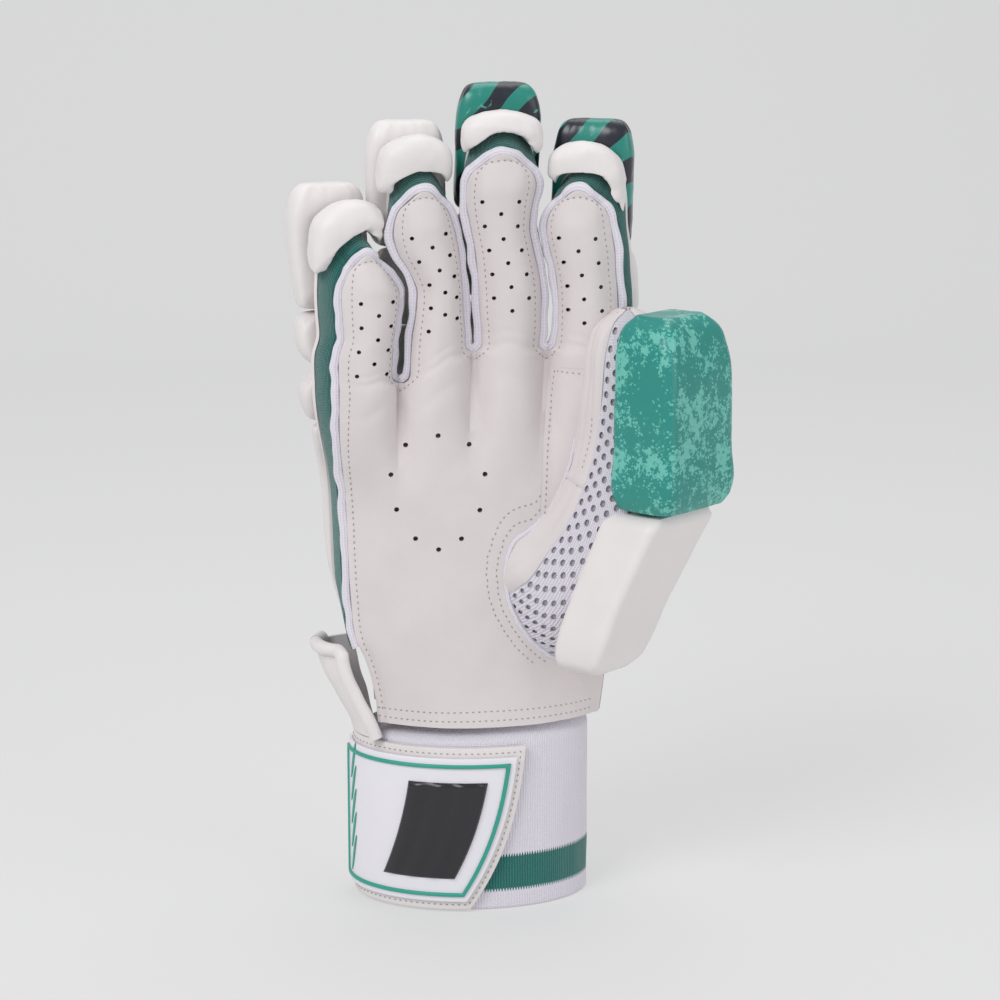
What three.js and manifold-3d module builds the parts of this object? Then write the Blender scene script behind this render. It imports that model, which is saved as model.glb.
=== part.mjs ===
// A right-hand cricket batting glove, standing on its wrist cuff with the palm facing -Y.
// Millimetres, +Z up, +X towards the thumb. The hand goes in through the open cuff.
// Leather and knit pieces are thin walls, foam pads are closed solids, and sewn
// neighbours stay SEAM apart.
import * as THREE from "three";
import { mergeVertices } from "three/addons/utils/BufferGeometryUtils.js";
import Module from "manifold-3d";

const wasm = await Module();
wasm.setup();

// Clearances and walls
const SEAM = 0.35;
const THUMB_SEAM = 0.5;
const PANEL_SEAM = 1.4;
const LEATHER = 1.3;
const KNIT = 1.3;
const RIM_WIDTH = 2.3;
const RIM_THICKNESS = 2.6;
const GUSSET_BULGE = 1.2;
const SLIT_BULGE = 0.2;

// Wrist cuff: an elliptical knit tube, whose top tucks into the palm and back walls
const CUFF_HEIGHT = 65;
const CUFF_TUCK = 7;
const SHOULDER_BELOW = 4;
const SHOULDER_ABOVE = 1;
const PALM_OVER_CUFF = 1.5;
const CUFF_WIDTH = 81;
const CUFF_DEPTH = 54;
const CUFF_WALL = 2.2;
const CUFF_CENTRE = -12.2;
const TUCK_NARROWING = 6.4;
const TUCK_SHIFT = 5;

// Palm and the four fingers, from the little finger's edge to the thumb side
const PALM_LEFT = -63.1;
const PALM_LENGTH = 120;
const PALM_EDGE_DEPTH = 10;
const PALM_CROWN = 11;
const BACK_EDGE_DEPTH = 12;
const BACK_CROWN = 5;
const FINGERS = [
  { name: "pinky", width: 24.5, length: 44, rise: 0, turn: 20 },
  { name: "ring", width: 25.8, length: 65, rise: 0, turn: 10 },
  { name: "middle", width: 24.9, length: 67.5, rise: 10, turn: 0 },
  { name: "index", width: 28.4, length: 55, rise: 10, turn: -16 },
];

// Each finger's foam rolls: width and sideways shift. Its cap: height, rise of its lower
// edge over the leather, sideways shift, and the side on which it droops
const FINGER_PADS = [
  { width: 28.2, shift: -5.35, capHeight: 21, capRise: 4, capShift: -3.5, droopSide: -1 },
  { width: 27.8, shift: -1.5, capHeight: 21.5, capRise: 4, capShift: -1.4, droopSide: -0.65 },
  { width: 29.6, shift: 0, capHeight: 17, capRise: 1.5, capShift: 0, droopSide: 0 },
  { width: 28.5, shift: 1, capHeight: 19, capRise: 4, capShift: 1, droopSide: 1 },
];
const FINGER_REACH = 70;
const ROOT_BLEND = 0.6;
const FINGER_FRONT = 4;
const FINGER_CROWN = 8;
const FINGER_BACK = 7;
const FINGER_BACK_CROWN = 3;
const FINGER_CURL = 7;
const FINGER_SET_BACK = 6;
const TIP_ROUNDING = 12;
const TIP_TUCK = 2.5;
const TIP_ARCH = 3.6;
const TIP_DROP = 2.2;
const BACK_OVERHANG = 10;
const OUTER_FLARE = 5.5;
const FLARE_START = 92;
const FLARE_FULL = 116;
const INNER_FLARE = 4;
const INNER_FLARE_START = 190;
const INNER_FLARE_FULL = 208;

// Foam pads on the back of the hand
const PAD_GAP = 0.85;
const PAD_STEP = 18;
const WRIST_PAD_GAP = 1;
const PAD_END = 6;
const PAD_SPREAD = 0.955;
const ROLL_THICKNESS = 17;
const ROLL_GAP = 0.8;
const ROLL_RISE = 24;
const TIP_ROLL_LENGTH = 44;
const KNUCKLE_DROP = 16;
const HAND_PAD_THICKNESS = 14;
const WRIST_PAD_HEIGHT = 24;
const WRIST_PAD_SPAN = 0.86;
const WRIST_PAD_THICKNESS = 10;
const CAP_DEPTH = 17;
const CAP_DROOP = 15;
const CAP_SAG = 3;
const CAP_SEAM = 0.35;
const CAP_GAP = 0.6;
const CAP_NARROWING = 1;

// Thumb stall and its two guards
const THUMB_ROOT = new THREE.Vector3(14, -3, 120);
const THUMB_LENGTH = 75;
const GUARD_THICKNESS = 26;
const GUARD_WIDTH = 38;
const GUARD_TURN = -45;
const GUARD_CORNER = 0.3;

// Strap round the cuff, its moulded face and what stands on it
const STRAP_HEIGHT = 59;
const STRAP_LIFT = 1;
const STRAP_THICKNESS = 2;
const STRAP_START = 90;
const STRAP_END = -68;
const FACE_START = 172;
const STRAP_SLANT = 27;
const FACE_THICKNESS = 1.2;
const FACE_MARGIN = 3.4;
const BORDER_WIDTH = 1.4;
const BORDER_HEIGHT = 0.7;
const BORDER_MARGIN = 2;
const GRIP_HEIGHT = 1.5;
const GRIP_RIBS = 7;
const GRIP_WIDTH = 26;
const GRIP_MARGIN = 12;

// Flap of the wrist opening on the little finger's side
const FLAP_LOW = 60.5;
const FLAP_HIGH = 91.8;
const FLAP_START = 148;
const FLAP_TURN = 66;
const FLAP_OUT = 12;
const FLAP_CLEAR = 2;
const BINDING_RADIUS = 2.4;

// Vents
const VENT_RADIUS = 0.75;
const PALM_VENT_RADIUS = 0.9;
const VENT_SIDES = 4;
const VENT_PITCH = 4.15;
const VENT_SPREAD = 0.56;
const FINGER_VENT_ROWS = [7, 9, 10, 8];
const PALM_VENTS = 10;
const PALM_VENT_RING = { x: -26, z: 149, halfWidth: 16, halfHeight: 20 };

// Heights of the wall's stations, as shares: from -1 at the wrist edge to 0 at the
// finger roots and to 1 at the tips. The side walls start at WRIST_SHARE on the little
// finger's side and at WEB_SHARE over the thumb.
const PALM_STATIONS = [-1, -0.9, -0.78, -0.62, -0.4, -0.14];
const FINGER_STATIONS = [0, 0.14, 0.3, 0.46, 0.62, 0.76, 0.87, 0.955, 1];
const WRIST_SHARE = -0.78;
const WEB_SHARE = -0.14;

// Sideways course of the lines between the fingers, as shares of the middle finger's
// width, at heights above its root as shares of the reach.
const LINE_COURSE = [
  { up: -0.143, outer: 0, pinkyRing: 0.015, ringMiddle: 0, middleIndex: 0, inner: 0 },
  { up: 0, outer: 0.005, pinkyRing: 0.035, ringMiddle: 0, middleIndex: 0, inner: -0.01 },
  { up: 0.1, outer: 0.075, pinkyRing: 0.06, ringMiddle: -0.01, middleIndex: 0.03, inner: -0.025 },
  { up: 0.2, outer: 0.055, pinkyRing: 0.105, ringMiddle: -0.035, middleIndex: 0.035, inner: -0.045 },
  { up: 0.3, outer: 0.045, pinkyRing: 0.13, ringMiddle: -0.05, middleIndex: 0.03, inner: -0.06 },
  { up: 0.4, outer: 0.06, pinkyRing: 0.03, ringMiddle: -0.07, middleIndex: -0.01, inner: -0.09 },
  { up: 0.5, outer: 0.08, pinkyRing: -0.13, ringMiddle: -0.1, middleIndex: -0.08, inner: -0.11 },
  { up: 0.63, outer: 0.08, pinkyRing: -0.2, ringMiddle: -0.17, middleIndex: -0.145, inner: -0.165 },
  { up: 0.75, outer: 0.08, pinkyRing: -0.2, ringMiddle: -0.23, middleIndex: -0.11, inner: -0.18 },
  { up: 0.87, outer: 0.08, pinkyRing: -0.2, ringMiddle: -0.24, middleIndex: -0.05, inner: -0.19 },
  { up: 1, outer: 0.08, pinkyRing: -0.2, ringMiddle: -0.22, middleIndex: -0.05, inner: -0.19 },
];
const LINES = ["outer", "pinkyRing", "ringMiddle", "middleIndex", "inner"];

// How far each edge of the palm comes in towards the wrist, as shares of its width,
// and its edges and crown as shares of the named depths.
const PALM_COURSE = [
  { up: 0, outerIn: 0.125, innerIn: 0.061, outerDeep: 1.3, innerDeep: 0.6, crown: 1.5 },
  { up: 0.08, outerIn: 0.116, innerIn: 0.05, outerDeep: 1.2, innerDeep: 0.7, crown: 1.4 },
  { up: 0.18, outerIn: 0.086, innerIn: 0.04, outerDeep: 1.1, innerDeep: 0.8, crown: 1.25 },
  { up: 0.24, outerIn: 0.056, innerIn: 0.036, outerDeep: 1, innerDeep: 0.85, crown: 1.2 },
  { up: 0.36, outerIn: 0.04, innerIn: 0.03, outerDeep: 0.95, innerDeep: 0.9, crown: 1.1 },
  { up: 0.66, outerIn: 0.025, innerIn: 0.018, outerDeep: 1, innerDeep: 1, crown: 0.95 },
  { up: 0.9, outerIn: 0.003, innerIn: 0.005, outerDeep: 1.1, innerDeep: 1, crown: 0.85 },
  { up: 1, outerIn: 0, innerIn: 0, outerDeep: 1.1, innerDeep: 1, crown: 0.85 },
];

// How a finger's end rounds over: half width as a share, up the length of the rounding.
const END_ROUNDING = [
  { up: 0, half: 1 },
  { up: 0.42, half: 0.96 },
  { up: 0.65, half: 0.89 },
  { up: 0.83, half: 0.77 },
  { up: 1, half: 0.52 },
];

// Outline of a pad's level section: across from -1 to 1, and out from the back wall.
const PAD_SECTION = [
  { across: -0.92, out: 0 },
  { across: 0, out: 0 },
  { across: 0.92, out: 0 },
  { across: 1, out: 0.3 },
  { across: 0.96, out: 0.68 },
  { across: 0.72, out: 0.93 },
  { across: 0, out: 1 },
  { across: -0.72, out: 0.93 },
  { across: -0.96, out: 0.68 },
  { across: -1, out: 0.3 },
];

// How a pad's end rounds over, from its end up the length of the rounding.
const PAD_ENDING = [
  { up: 0, wide: 0.8, thick: 0.5 },
  { up: 0.3, wide: 0.94, thick: 0.8 },
  { up: 1, wide: 1, thick: 1 },
];

// Side outline of a fingertip cap: out from the finger's axis, and up, as shares of
// the cap's depth and height.
const CAP_SECTION = [
  { out: -0.12, up: 0 },
  { out: -0.36, up: 0.25 },
  { out: -0.42, up: 0.62 },
  { out: -0.24, up: 0.92 },
  { out: 0.1, up: 1 },
  { out: 0.485, up: 0.9 },
  { out: 0.485, up: 0.3 },
];

// How a cap shrinks from its middle out to its sides.
const CAP_ENDING = [
  { across: -1, size: 0.55 },
  { across: -0.8, size: 0.88 },
  { across: 0, size: 1.03 },
  { across: 0.8, size: 0.88 },
  { across: 1, size: 0.55 },
];

// Thumb stall: centres of its sections from the root and their half sizes, as shares
// of the thumb's length, with the pitch and heading of its axis in degrees.
const THUMB_COURSE = [
  { along: 0, x: 0, y: 0, z: 0, pitch: 0, heading: -56, across: 0.46, deep: 0.31 },
  { along: 0.14, x: 0.1, y: -0.1, z: -0.01, pitch: 18, heading: -54, across: 0.42, deep: 0.3 },
  { along: 0.3, x: 0.21, y: -0.16, z: 0.13, pitch: 45, heading: -50, across: 0.32, deep: 0.26 },
  { along: 0.46, x: 0.275, y: -0.2, z: 0.36, pitch: 70, heading: -46, across: 0.235, deep: 0.21 },
  { along: 0.62, x: 0.31, y: -0.213, z: 0.6, pitch: 84, heading: -44, across: 0.205, deep: 0.175 },
  { along: 0.8, x: 0.325, y: -0.217, z: 0.87, pitch: 90, heading: -43, across: 0.2, deep: 0.168 },
  { along: 0.92, x: 0.33, y: -0.217, z: 1.07, pitch: 90, heading: -43, across: 0.185, deep: 0.155 },
  { along: 0.97, x: 0.335, y: -0.217, z: 1.165, pitch: 90, heading: -43, across: 0.135, deep: 0.115 },
  { along: 1, x: 0.335, y: -0.217, z: 1.215, pitch: 90, heading: -43, across: 0.03, deep: 0.03 },
];
const THUMB_STATIONS = [0, 0.07, 0.14, 0.22, 0.3, 0.38, 0.46, 0.62, 0.8, 0.92, 0.97, 1];

// Edges of the stall's mesh strip along it, as angles round its axis in degrees. The
// inner and back panels meet at the rear seam.
const REAR_SEAM = 25;
const PANEL_COURSE = [
  { along: 0, meshStart: 196, meshEnd: 262 },
  { along: 0.14, meshStart: 182, meshEnd: 258 },
  { along: 0.3, meshStart: 172, meshEnd: 250 },
  { along: 0.46, meshStart: 172, meshEnd: 244 },
  { along: 0.8, meshStart: 178, meshEnd: 240 },
  { along: 1, meshStart: 180, meshEnd: 240 },
];
const THUMB_PANELS = [
  { name: "thumb_inner", finish: "leather", from: "rearSeam", to: "meshStart", columns: 5 },
  { name: "thumb_mesh", finish: "mesh", from: "meshStart", to: "meshEnd", columns: 2 },
  { name: "thumb_back", finish: "leather", from: "meshEnd", to: "fullTurn", columns: 5 },
];

// Level sections of the thumb guards: centres from the thumb's root as shares of its
// length, sizes as shares of the guard's thickness and width.
const BASE_GUARD_COURSE = [
  { x: 0.19, y: -0.37, z: -0.42, thick: 0.5, wide: 0.5 },
  { x: 0.195, y: -0.37, z: -0.39, thick: 0.66, wide: 0.68 },
  { x: 0.21, y: -0.37, z: -0.32, thick: 0.78, wide: 0.8 },
  { x: 0.29, y: -0.36, z: -0.1, thick: 0.84, wide: 0.86 },
  { x: 0.39, y: -0.345, z: 0.12, thick: 0.88, wide: 0.92 },
  { x: 0.46, y: -0.335, z: 0.27, thick: 0.92, wide: 0.96 },
  { x: 0.475, y: -0.335, z: 0.315, thick: 0.8, wide: 0.84 },
];
const TIP_GUARD_COURSE = [
  { x: 0.52, y: -0.365, z: 0.34, thick: 0.86, wide: 0.88 },
  { x: 0.525, y: -0.36, z: 0.38, thick: 0.98, wide: 0.98 },
  { x: 0.53, y: -0.355, z: 0.62, thick: 1, wide: 1 },
  { x: 0.53, y: -0.355, z: 0.9, thick: 1, wide: 0.98 },
  { x: 0.52, y: -0.35, z: 1.08, thick: 0.94, wide: 0.92 },
  { x: 0.515, y: -0.345, z: 1.17, thick: 0.8, wide: 0.78 },
  { x: 0.51, y: -0.345, z: 1.22, thick: 0.55, wide: 0.54 },
];

// Reinforcing patch in the web between thumb and index finger, from the thumb's root
// as shares of its length.
const PATCH = [
  { x: -0.065, z: 0.2 },
  { x: 0.41, z: 0.2 },
  { x: 0.41, z: 0.945 },
  { x: -0.01, z: 0.955 },
  { x: -0.045, z: 0.6 },
];

const palmWidth = FINGERS.reduce((sum, finger) => sum + finger.width, 0);
const palmBottom = CUFF_HEIGHT + PALM_OVER_CUFF;
const rootHeight = palmBottom + PALM_LENGTH;

const radians = THREE.MathUtils.degToRad;
const mix = THREE.MathUtils.lerp;
const clamp = THREE.MathUtils.clamp;
const smoothstep = THREE.MathUtils.smoothstep;

// The value of a named column at a place along a table, on a smooth curve through its rows.
function course(table, key, column, at) {
  const last = table.length - 1;
  const place = clamp(at, table[0][key], table[last][key]);
  let k = 0;
  while (k < last - 1 && place > table[k + 1][key]) k += 1;
  const slope = (a, b) => (table[b][column] - table[a][column]) / (table[b][key] - table[a][key]);
  const here = slope(k, k + 1);
  const before = k > 0 ? slope(k - 1, k) : here;
  const after = k < last - 1 ? slope(k + 1, k + 2) : here;
  const run = table[k + 1][key] - table[k][key];
  const t = (place - table[k][key]) / run;
  const start = before * here > 0 ? (before + here) / 2 : 0;
  const end = after * here > 0 ? (after + here) / 2 : 0;
  const t2 = t * t;
  const t3 = t2 * t;
  return (
    table[k][column] * (2 * t3 - 3 * t2 + 1) +
    start * run * (t3 - 2 * t2 + t) +
    table[k + 1][column] * (3 * t2 - 2 * t3) +
    end * run * (t3 - t2)
  );
}

// Root positions of the five lines that bound the four fingers.
const lineRoots = FINGERS.reduce((xs, finger) => [...xs, xs.at(-1) + finger.width], [PALM_LEFT]);

// Height of the slit's bottom at each of the five lines.
const rootRises = [
  FINGERS[0].rise,
  FINGERS[0].rise,
  FINGERS[2].rise,
  FINGERS[2].rise,
  FINGERS[3].rise,
];

// X of line k at height z, through the palm and up between the fingers.
function lineX(k, z) {
  const up = (z - rootHeight - FINGERS[2].rise) / FINGER_REACH;
  const sway = course(LINE_COURSE, "up", LINES[k], up) * FINGERS[2].width;
  const palmUp = clamp((z - palmBottom) / PALM_LENGTH, 0, 1);
  const left = course(PALM_COURSE, "up", "outerIn", palmUp) * palmWidth;
  const right = course(PALM_COURSE, "up", "innerIn", palmUp) * palmWidth;
  const share = (lineRoots[k] - PALM_LEFT) / palmWidth;
  return lineRoots[k] + mix(left, -right, share) + sway;
}

// X of line k on the front or the back wall: the back reaches out beyond the palm's
// leather at the little finger's and the index finger's outer sides, where the knit shows.
function wallLine(k, z, back) {
  if (back && k === 0) return lineX(k, z) - OUTER_FLARE * smoothstep(z, FLARE_START, FLARE_FULL);
  if (back && k === 4) {
    return lineX(k, z) + INNER_FLARE * smoothstep(z, INNER_FLARE_START, INNER_FLARE_FULL);
  }
  return lineX(k, z);
}

// Depth of each finger's axis: the hand's arch brings neighbouring edges together.
const archDepths = FINGERS.map((finger, i) => {
  let depth = 0;
  for (let k = Math.min(i, 2); k < Math.max(i, 2); k += 1) {
    const [a, b] = [FINGERS[k], FINGERS[k + 1]];
    const step = (Math.abs(Math.sin(radians(a.turn))) * a.width) / 2;
    depth -= step + (Math.abs(Math.sin(radians(b.turn))) * b.width) / 2;
  }
  return 0.75 * depth;
});

function tipHeight(i, back) {
  const finger = FINGERS[i];
  return rootHeight + finger.rise + finger.length + (back ? BACK_OVERHANG : 0);
}

// A point on finger i. u runs across from -1 to 1 and h from root 0 to tip 1. inset
// is how far the edges stay inside the lines between the fingers.
function fingerPoint(i, u, h, back, inset, proud = 0) {
  const finger = FINGERS[i];
  const tip = tipHeight(i, back);
  const root = rootHeight + mix(rootRises[i], rootRises[i + 1], (u + 1) / 2);
  const flat = mix(root, tip, h);
  const z = flat + (TIP_ARCH * (1 - u * u) - TIP_DROP) * smoothstep(h, 0.6, 1);
  const lineZ = Math.min(flat, tip);
  const left = wallLine(i, lineZ, back) + inset;
  const right = wallLine(i + 1, lineZ, back) - inset;
  const rounding = clamp((flat - (tip - TIP_ROUNDING)) / TIP_ROUNDING, 0, 1);
  const half = ((right - left) / 2) * course(END_ROUNDING, "up", "half", rounding);
  return place(i, (left + right) / 2, u * half, z, back, Math.abs(u), proud);
}

// Turns a place across finger i, at height z, into a point on its front or back wall.
function place(i, centre, across, z, back, edgeShare, proud) {
  const turn = radians(FINGERS[i].turn);
  const up = (z - rootHeight) / FINGER_REACH;
  const axisY = archDepths[i] - FINGER_SET_BACK - FINGER_CURL * clamp(up, 0, 1.4) ** 2;
  const closing = smoothstep(z, tipHeight(i, back) - TIP_ROUNDING, tipHeight(i, back));
  const bulge = (1 - edgeShare ** 2.4) * (1 - 0.7 * closing);
  const deep = back
    ? FINGER_BACK + FINGER_BACK_CROWN * bulge + proud
    : -FINGER_FRONT - TIP_TUCK * closing - FINGER_CROWN * bulge - proud;
  const axisX = centre - FINGER_FRONT * Math.sin(turn);
  return new THREE.Vector3(
    axisX + across * Math.cos(turn) - deep * Math.sin(turn),
    axisY + across * Math.sin(turn) + deep * Math.cos(turn),
    z,
  );
}

// Depth of the palm or the back of the hand at a place below the fingers.
function handDepth(x, z, back) {
  const up = clamp((z - palmBottom) / PALM_LENGTH, 0, 1);
  const wide = (lineX(4, z) - lineX(0, z)) / 2;
  const middle = (lineX(4, z) + lineX(0, z)) / 2;
  const across = clamp((x - middle) / wide, -1, 1);
  const crown = course(PALM_COURSE, "up", "crown", up);
  const bulge = 1 - Math.abs(across) ** 2.3;
  if (back) return BACK_EDGE_DEPTH + BACK_CROWN * crown * crown * bulge;
  const outer = course(PALM_COURSE, "up", "outerDeep", up);
  const inner = course(PALM_COURSE, "up", "innerDeep", up);
  return -PALM_EDGE_DEPTH * mix(outer, inner, (across + 1) / 2) - PALM_CROWN * crown * bulge;
}

// A point on the palm or the back of the hand below the fingers. h runs from 0 at the
// wrist edge to 1 at the finger roots.
function handPoint(i, u, h, back, inset, proud = 0) {
  const root = rootHeight + mix(rootRises[i], rootRises[i + 1], (u + 1) / 2);
  const z = mix(palmBottom, root, h);
  const left = wallLine(i, z, back) + (i === 0 ? inset : inset * h);
  const right = wallLine(i + 1, z, back) - (i === 3 ? inset : inset * h);
  const x = mix(left, right, (u + 1) / 2);
  const y = handDepth(x, z, back) + (back ? proud : -proud);
  const finger = fingerPoint(i, u, 0, back, inset, proud);
  const blend = smoothstep(h, ROOT_BLEND, 1);
  return new THREE.Vector3(mix(x, finger.x, blend * blend), mix(y, finger.y, blend), z);
}

// Whole wall surface: h runs from -1 at the wrist edge through 0 at the roots to 1 at the tip.
function wallPoint(i, u, h, back, inset, proud = 0) {
  return h < 0
    ? handPoint(i, u, h + 1, back, inset, proud)
    : fingerPoint(i, u, h, back, inset, proud);
}

// A sheet of points and quads over the palm and all four fingers.
function wallSheet(back, cells, inset) {
  const points = [];
  const quads = [];
  const index = new Map();
  const at = (i, c, h) => {
    const key = [i, c, h].join();
    if (!index.has(key)) {
      index.set(key, points.length);
      points.push(wallPoint(i, (2 * c) / cells - 1, h, back, inset));
    }
    return index.get(key);
  };
  const stations = [...PALM_STATIONS, ...FINGER_STATIONS];
  for (let row = 0; row < stations.length - 1; row += 1) {
    const [low, high] = [stations[row], stations[row + 1]];
    for (let i = 0; i < 4; i += 1) {
      for (let c = 0; c < cells; c += 1) {
        quads.push([at(i, c, low), at(i, c + 1, low), at(i, c + 1, high), at(i, c, high)]);
      }
      if (i < 3 && high <= 0) {
        quads.push([at(i, cells, low), at(i + 1, 0, low), at(i + 1, 0, high), at(i, cells, high)]);
      }
    }
  }
  return { points, quads: back ? quads.map((q) => [...q].reverse()) : quads };
}

// A closed geometry from points and faces of three or four corners, facing outwards.
function geometry(points, faces) {
  const triangles = faces.flatMap((f) =>
    f.length === 4
      ? [
          [f[0], f[1], f[2]],
          [f[0], f[2], f[3]],
        ]
      : [f],
  );
  const volume = triangles.reduce((sum, [a, b, c]) => {
    return sum + points[a].dot(points[b].clone().cross(points[c]));
  }, 0);
  const turned = volume < 0 ? triangles.map(([a, b, c]) => [a, c, b]) : triangles;
  const made = new THREE.BufferGeometry();
  made.setAttribute(
    "position",
    new THREE.Float32BufferAttribute(
      points.flatMap((p) => [p.x, p.y, p.z]),
      3,
    ),
  );
  made.setIndex(turned.flat());
  return made;
}

// Closes an outer and an inner sheet with the same quads round their edges.
function slab(outer, inner, quads) {
  const n = outer.length;
  const edges = new Set();
  for (const quad of quads) {
    quad.forEach((a, k) => edges.add(a + "," + quad[(k + 1) % quad.length]));
  }
  const walls = [];
  for (const edge of edges) {
    const [a, b] = edge.split(",").map(Number);
    if (!edges.has(b + "," + a)) walls.push([b, a, a + n, b + n]);
  }
  const undersides = quads.map((quad) => quad.map((k) => k + n).reverse());
  return geometry([...outer, ...inner], [...quads, ...undersides, ...walls]);
}

// Gives an open sheet of quads a thickness, inwards from its outer face.
function thicken({ points, quads }, thickness) {
  const normals = points.map(() => new THREE.Vector3());
  for (const quad of quads) {
    const corners = quad.map((k) => points[k]);
    const normal = corners[2].clone().sub(corners[0]).cross(corners[3].clone().sub(corners[1]));
    quad.forEach((k) => normals[k].add(normal));
  }
  const inner = points.map((p, k) => p.clone().addScaledVector(normals[k].normalize(), -thickness));
  return slab(points, inner, quads);
}

// A closed solid through rings of equally many points, capped at both ends.
function loft(rings) {
  const points = rings.flat();
  const n = rings[0].length;
  const faces = [];
  for (let r = 0; r < rings.length - 1; r += 1) {
    for (let k = 0; k < n; k += 1) {
      const next = (k + 1) % n;
      faces.push([r * n + k, r * n + next, (r + 1) * n + next, (r + 1) * n + k]);
    }
  }
  for (const [r, flip] of [
    [0, true],
    [rings.length - 1, false],
  ]) {
    const centre = points.length;
    const sum = rings[r].reduce((total, p) => total.add(p), new THREE.Vector3());
    points.push(sum.divideScalar(n));
    for (let k = 0; k < n; k += 1) {
      const face = [centre, r * n + k, r * n + ((k + 1) % n)];
      faces.push(flip ? face.reverse() : face);
    }
  }
  return geometry(points, faces);
}

// A flat outline in X and Z, cut square through the hand along Y.
function prism(outline, front, back) {
  const shape = new THREE.Shape(outline.map(({ x, z }) => new THREE.Vector2(x, z)));
  const made = new THREE.ExtrudeGeometry(shape, { depth: back - front, bevelEnabled: false });
  return made.rotateX(Math.PI / 2).translate(0, back, 0);
}

function solidOf(made) {
  const bare = new THREE.BufferGeometry();
  bare.setAttribute("position", made.getAttribute("position").clone());
  if (made.index) bare.setIndex(made.index.clone());
  const merged = mergeVertices(bare, 1e-4);
  return new wasm.Manifold(
    new wasm.Mesh({
      numProp: 3,
      vertProperties: merged.attributes.position.array,
      triVerts: new Uint32Array(merged.index.array),
    }),
  );
}

function geometryOf(solid) {
  const { vertProperties, triVerts } = solid.getMesh();
  const made = new THREE.BufferGeometry();
  made.setAttribute("position", new THREE.BufferAttribute(new Float32Array(vertProperties), 3));
  made.setIndex(new THREE.BufferAttribute(new Uint32Array(triVerts), 1));
  return made;
}

const glove = new THREE.Group();
const materials = {
  leather: { color: 0xd9d2d0, roughness: 0.62, metalness: 0 },
  pearl: { color: 0xe6e1de, roughness: 0.45, metalness: 0 },
  lining: { color: 0xdcd6e2, roughness: 0.95, metalness: 0 },
  green_knit: { color: 0x1f7a6b, roughness: 0.92, metalness: 0 },
  white_knit: { color: 0xe4deea, roughness: 0.95, metalness: 0 },
  print: { color: 0x17937d, roughness: 0.35, metalness: 0 },
  mesh: { color: 0xd8d2dc, roughness: 0.9, metalness: 0 },
  moulded: { color: 0xe9e4ec, roughness: 0.4, metalness: 0 },
  green_rubber: { color: 0x2b9a84, roughness: 0.4, metalness: 0 },
  black_rubber: { color: 0x1c1c20, roughness: 0.35, metalness: 0 },
};

function add(name, made, finish) {
  const mesh = new THREE.Mesh(made, new THREE.MeshStandardMaterial(materials[finish]));
  mesh.name = name;
  glove.add(mesh);
}

const edgeInset = RIM_WIDTH + SEAM / 2 + SEAM;

// What the thumb stall leaves of a piece, without loose scraps beyond it.
function besideThumb(solid) {
  return largestBody(solid.subtract(thumbSpace(THUMB_SEAM)));
}

function largestBody(solid) {
  const bodies = solid.decompose();
  return bodies.reduce((whole, body) => (body.volume() > whole.volume() ? body : whole));
}

// Vents: singles and pairs by turns up each finger, and an egg-shaped ring in the palm.
function ventPlaces() {
  const vents = [];
  FINGERS.forEach((finger, i) => {
    for (let row = 0; row < FINGER_VENT_ROWS[i]; row += 1) {
      const h = (finger.length - 15 - row * VENT_PITCH) / finger.length;
      for (const u of row % 2 ? [0] : [-VENT_SPREAD, VENT_SPREAD]) {
        vents.push({ at: fingerPoint(i, u, h, false, edgeInset), radius: VENT_RADIUS });
      }
    }
  });
  const ring = PALM_VENT_RING;
  for (let k = 0; k < PALM_VENTS; k += 1) {
    const angle = (2 * Math.PI * k) / PALM_VENTS + Math.PI / 2;
    const x = ring.x + ring.halfWidth * (1 + 0.2 * Math.sin(angle)) * Math.cos(angle);
    const z = ring.z + ring.halfHeight * Math.sin(angle);
    vents.push({ at: new THREE.Vector3(x, 0, z), radius: PALM_VENT_RADIUS });
  }
  return vents;
}

function ventCutters() {
  const length = 2 * (PALM_EDGE_DEPTH + PALM_CROWN) + 30;
  const cutters = ventPlaces().map(({ at, radius }) => {
    const cutter = new THREE.CylinderGeometry(radius, radius, length, VENT_SIDES);
    return solidOf(cutter.translate(at.x, -length / 2, at.z));
  });
  return wasm.Manifold.union(cutters);
}

// The patch's outline, drawn in by a margin towards its middle.
function patchOutline(margin) {
  const corners = PATCH.map(({ x, z }) => ({
    x: THUMB_ROOT.x + x * THUMB_LENGTH,
    z: THUMB_ROOT.z + z * THUMB_LENGTH,
  }));
  const middleX = corners.reduce((sum, p) => sum + p.x, 0) / corners.length;
  const middleZ = corners.reduce((sum, p) => sum + p.z, 0) / corners.length;
  return corners.map(({ x, z }) => ({
    x: x - Math.sign(x - middleX) * margin,
    z: z - Math.sign(z - middleZ) * margin,
  }));
}

function makePalm() {
  const sheet = solidOf(thicken(wallSheet(false, 4, edgeInset), LEATHER));
  const leather = besideThumb(sheet).subtract(ventCutters());
  const depth = 2 * (PALM_EDGE_DEPTH + PALM_CROWN);
  const hole = solidOf(prism(patchOutline(0), -depth, depth));
  const patch = solidOf(prism(patchOutline(SEAM), -depth, depth));
  add("palm", geometryOf(leather.subtract(hole)), "leather");
  add("web_patch", geometryOf(leather.intersect(patch)), "leather");
}

function makeBack() {
  const sheet = solidOf(thicken(wallSheet(true, 2, edgeInset), LEATHER));
  add("back_panel", geometryOf(besideThumb(sheet)), "pearl");
}

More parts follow.
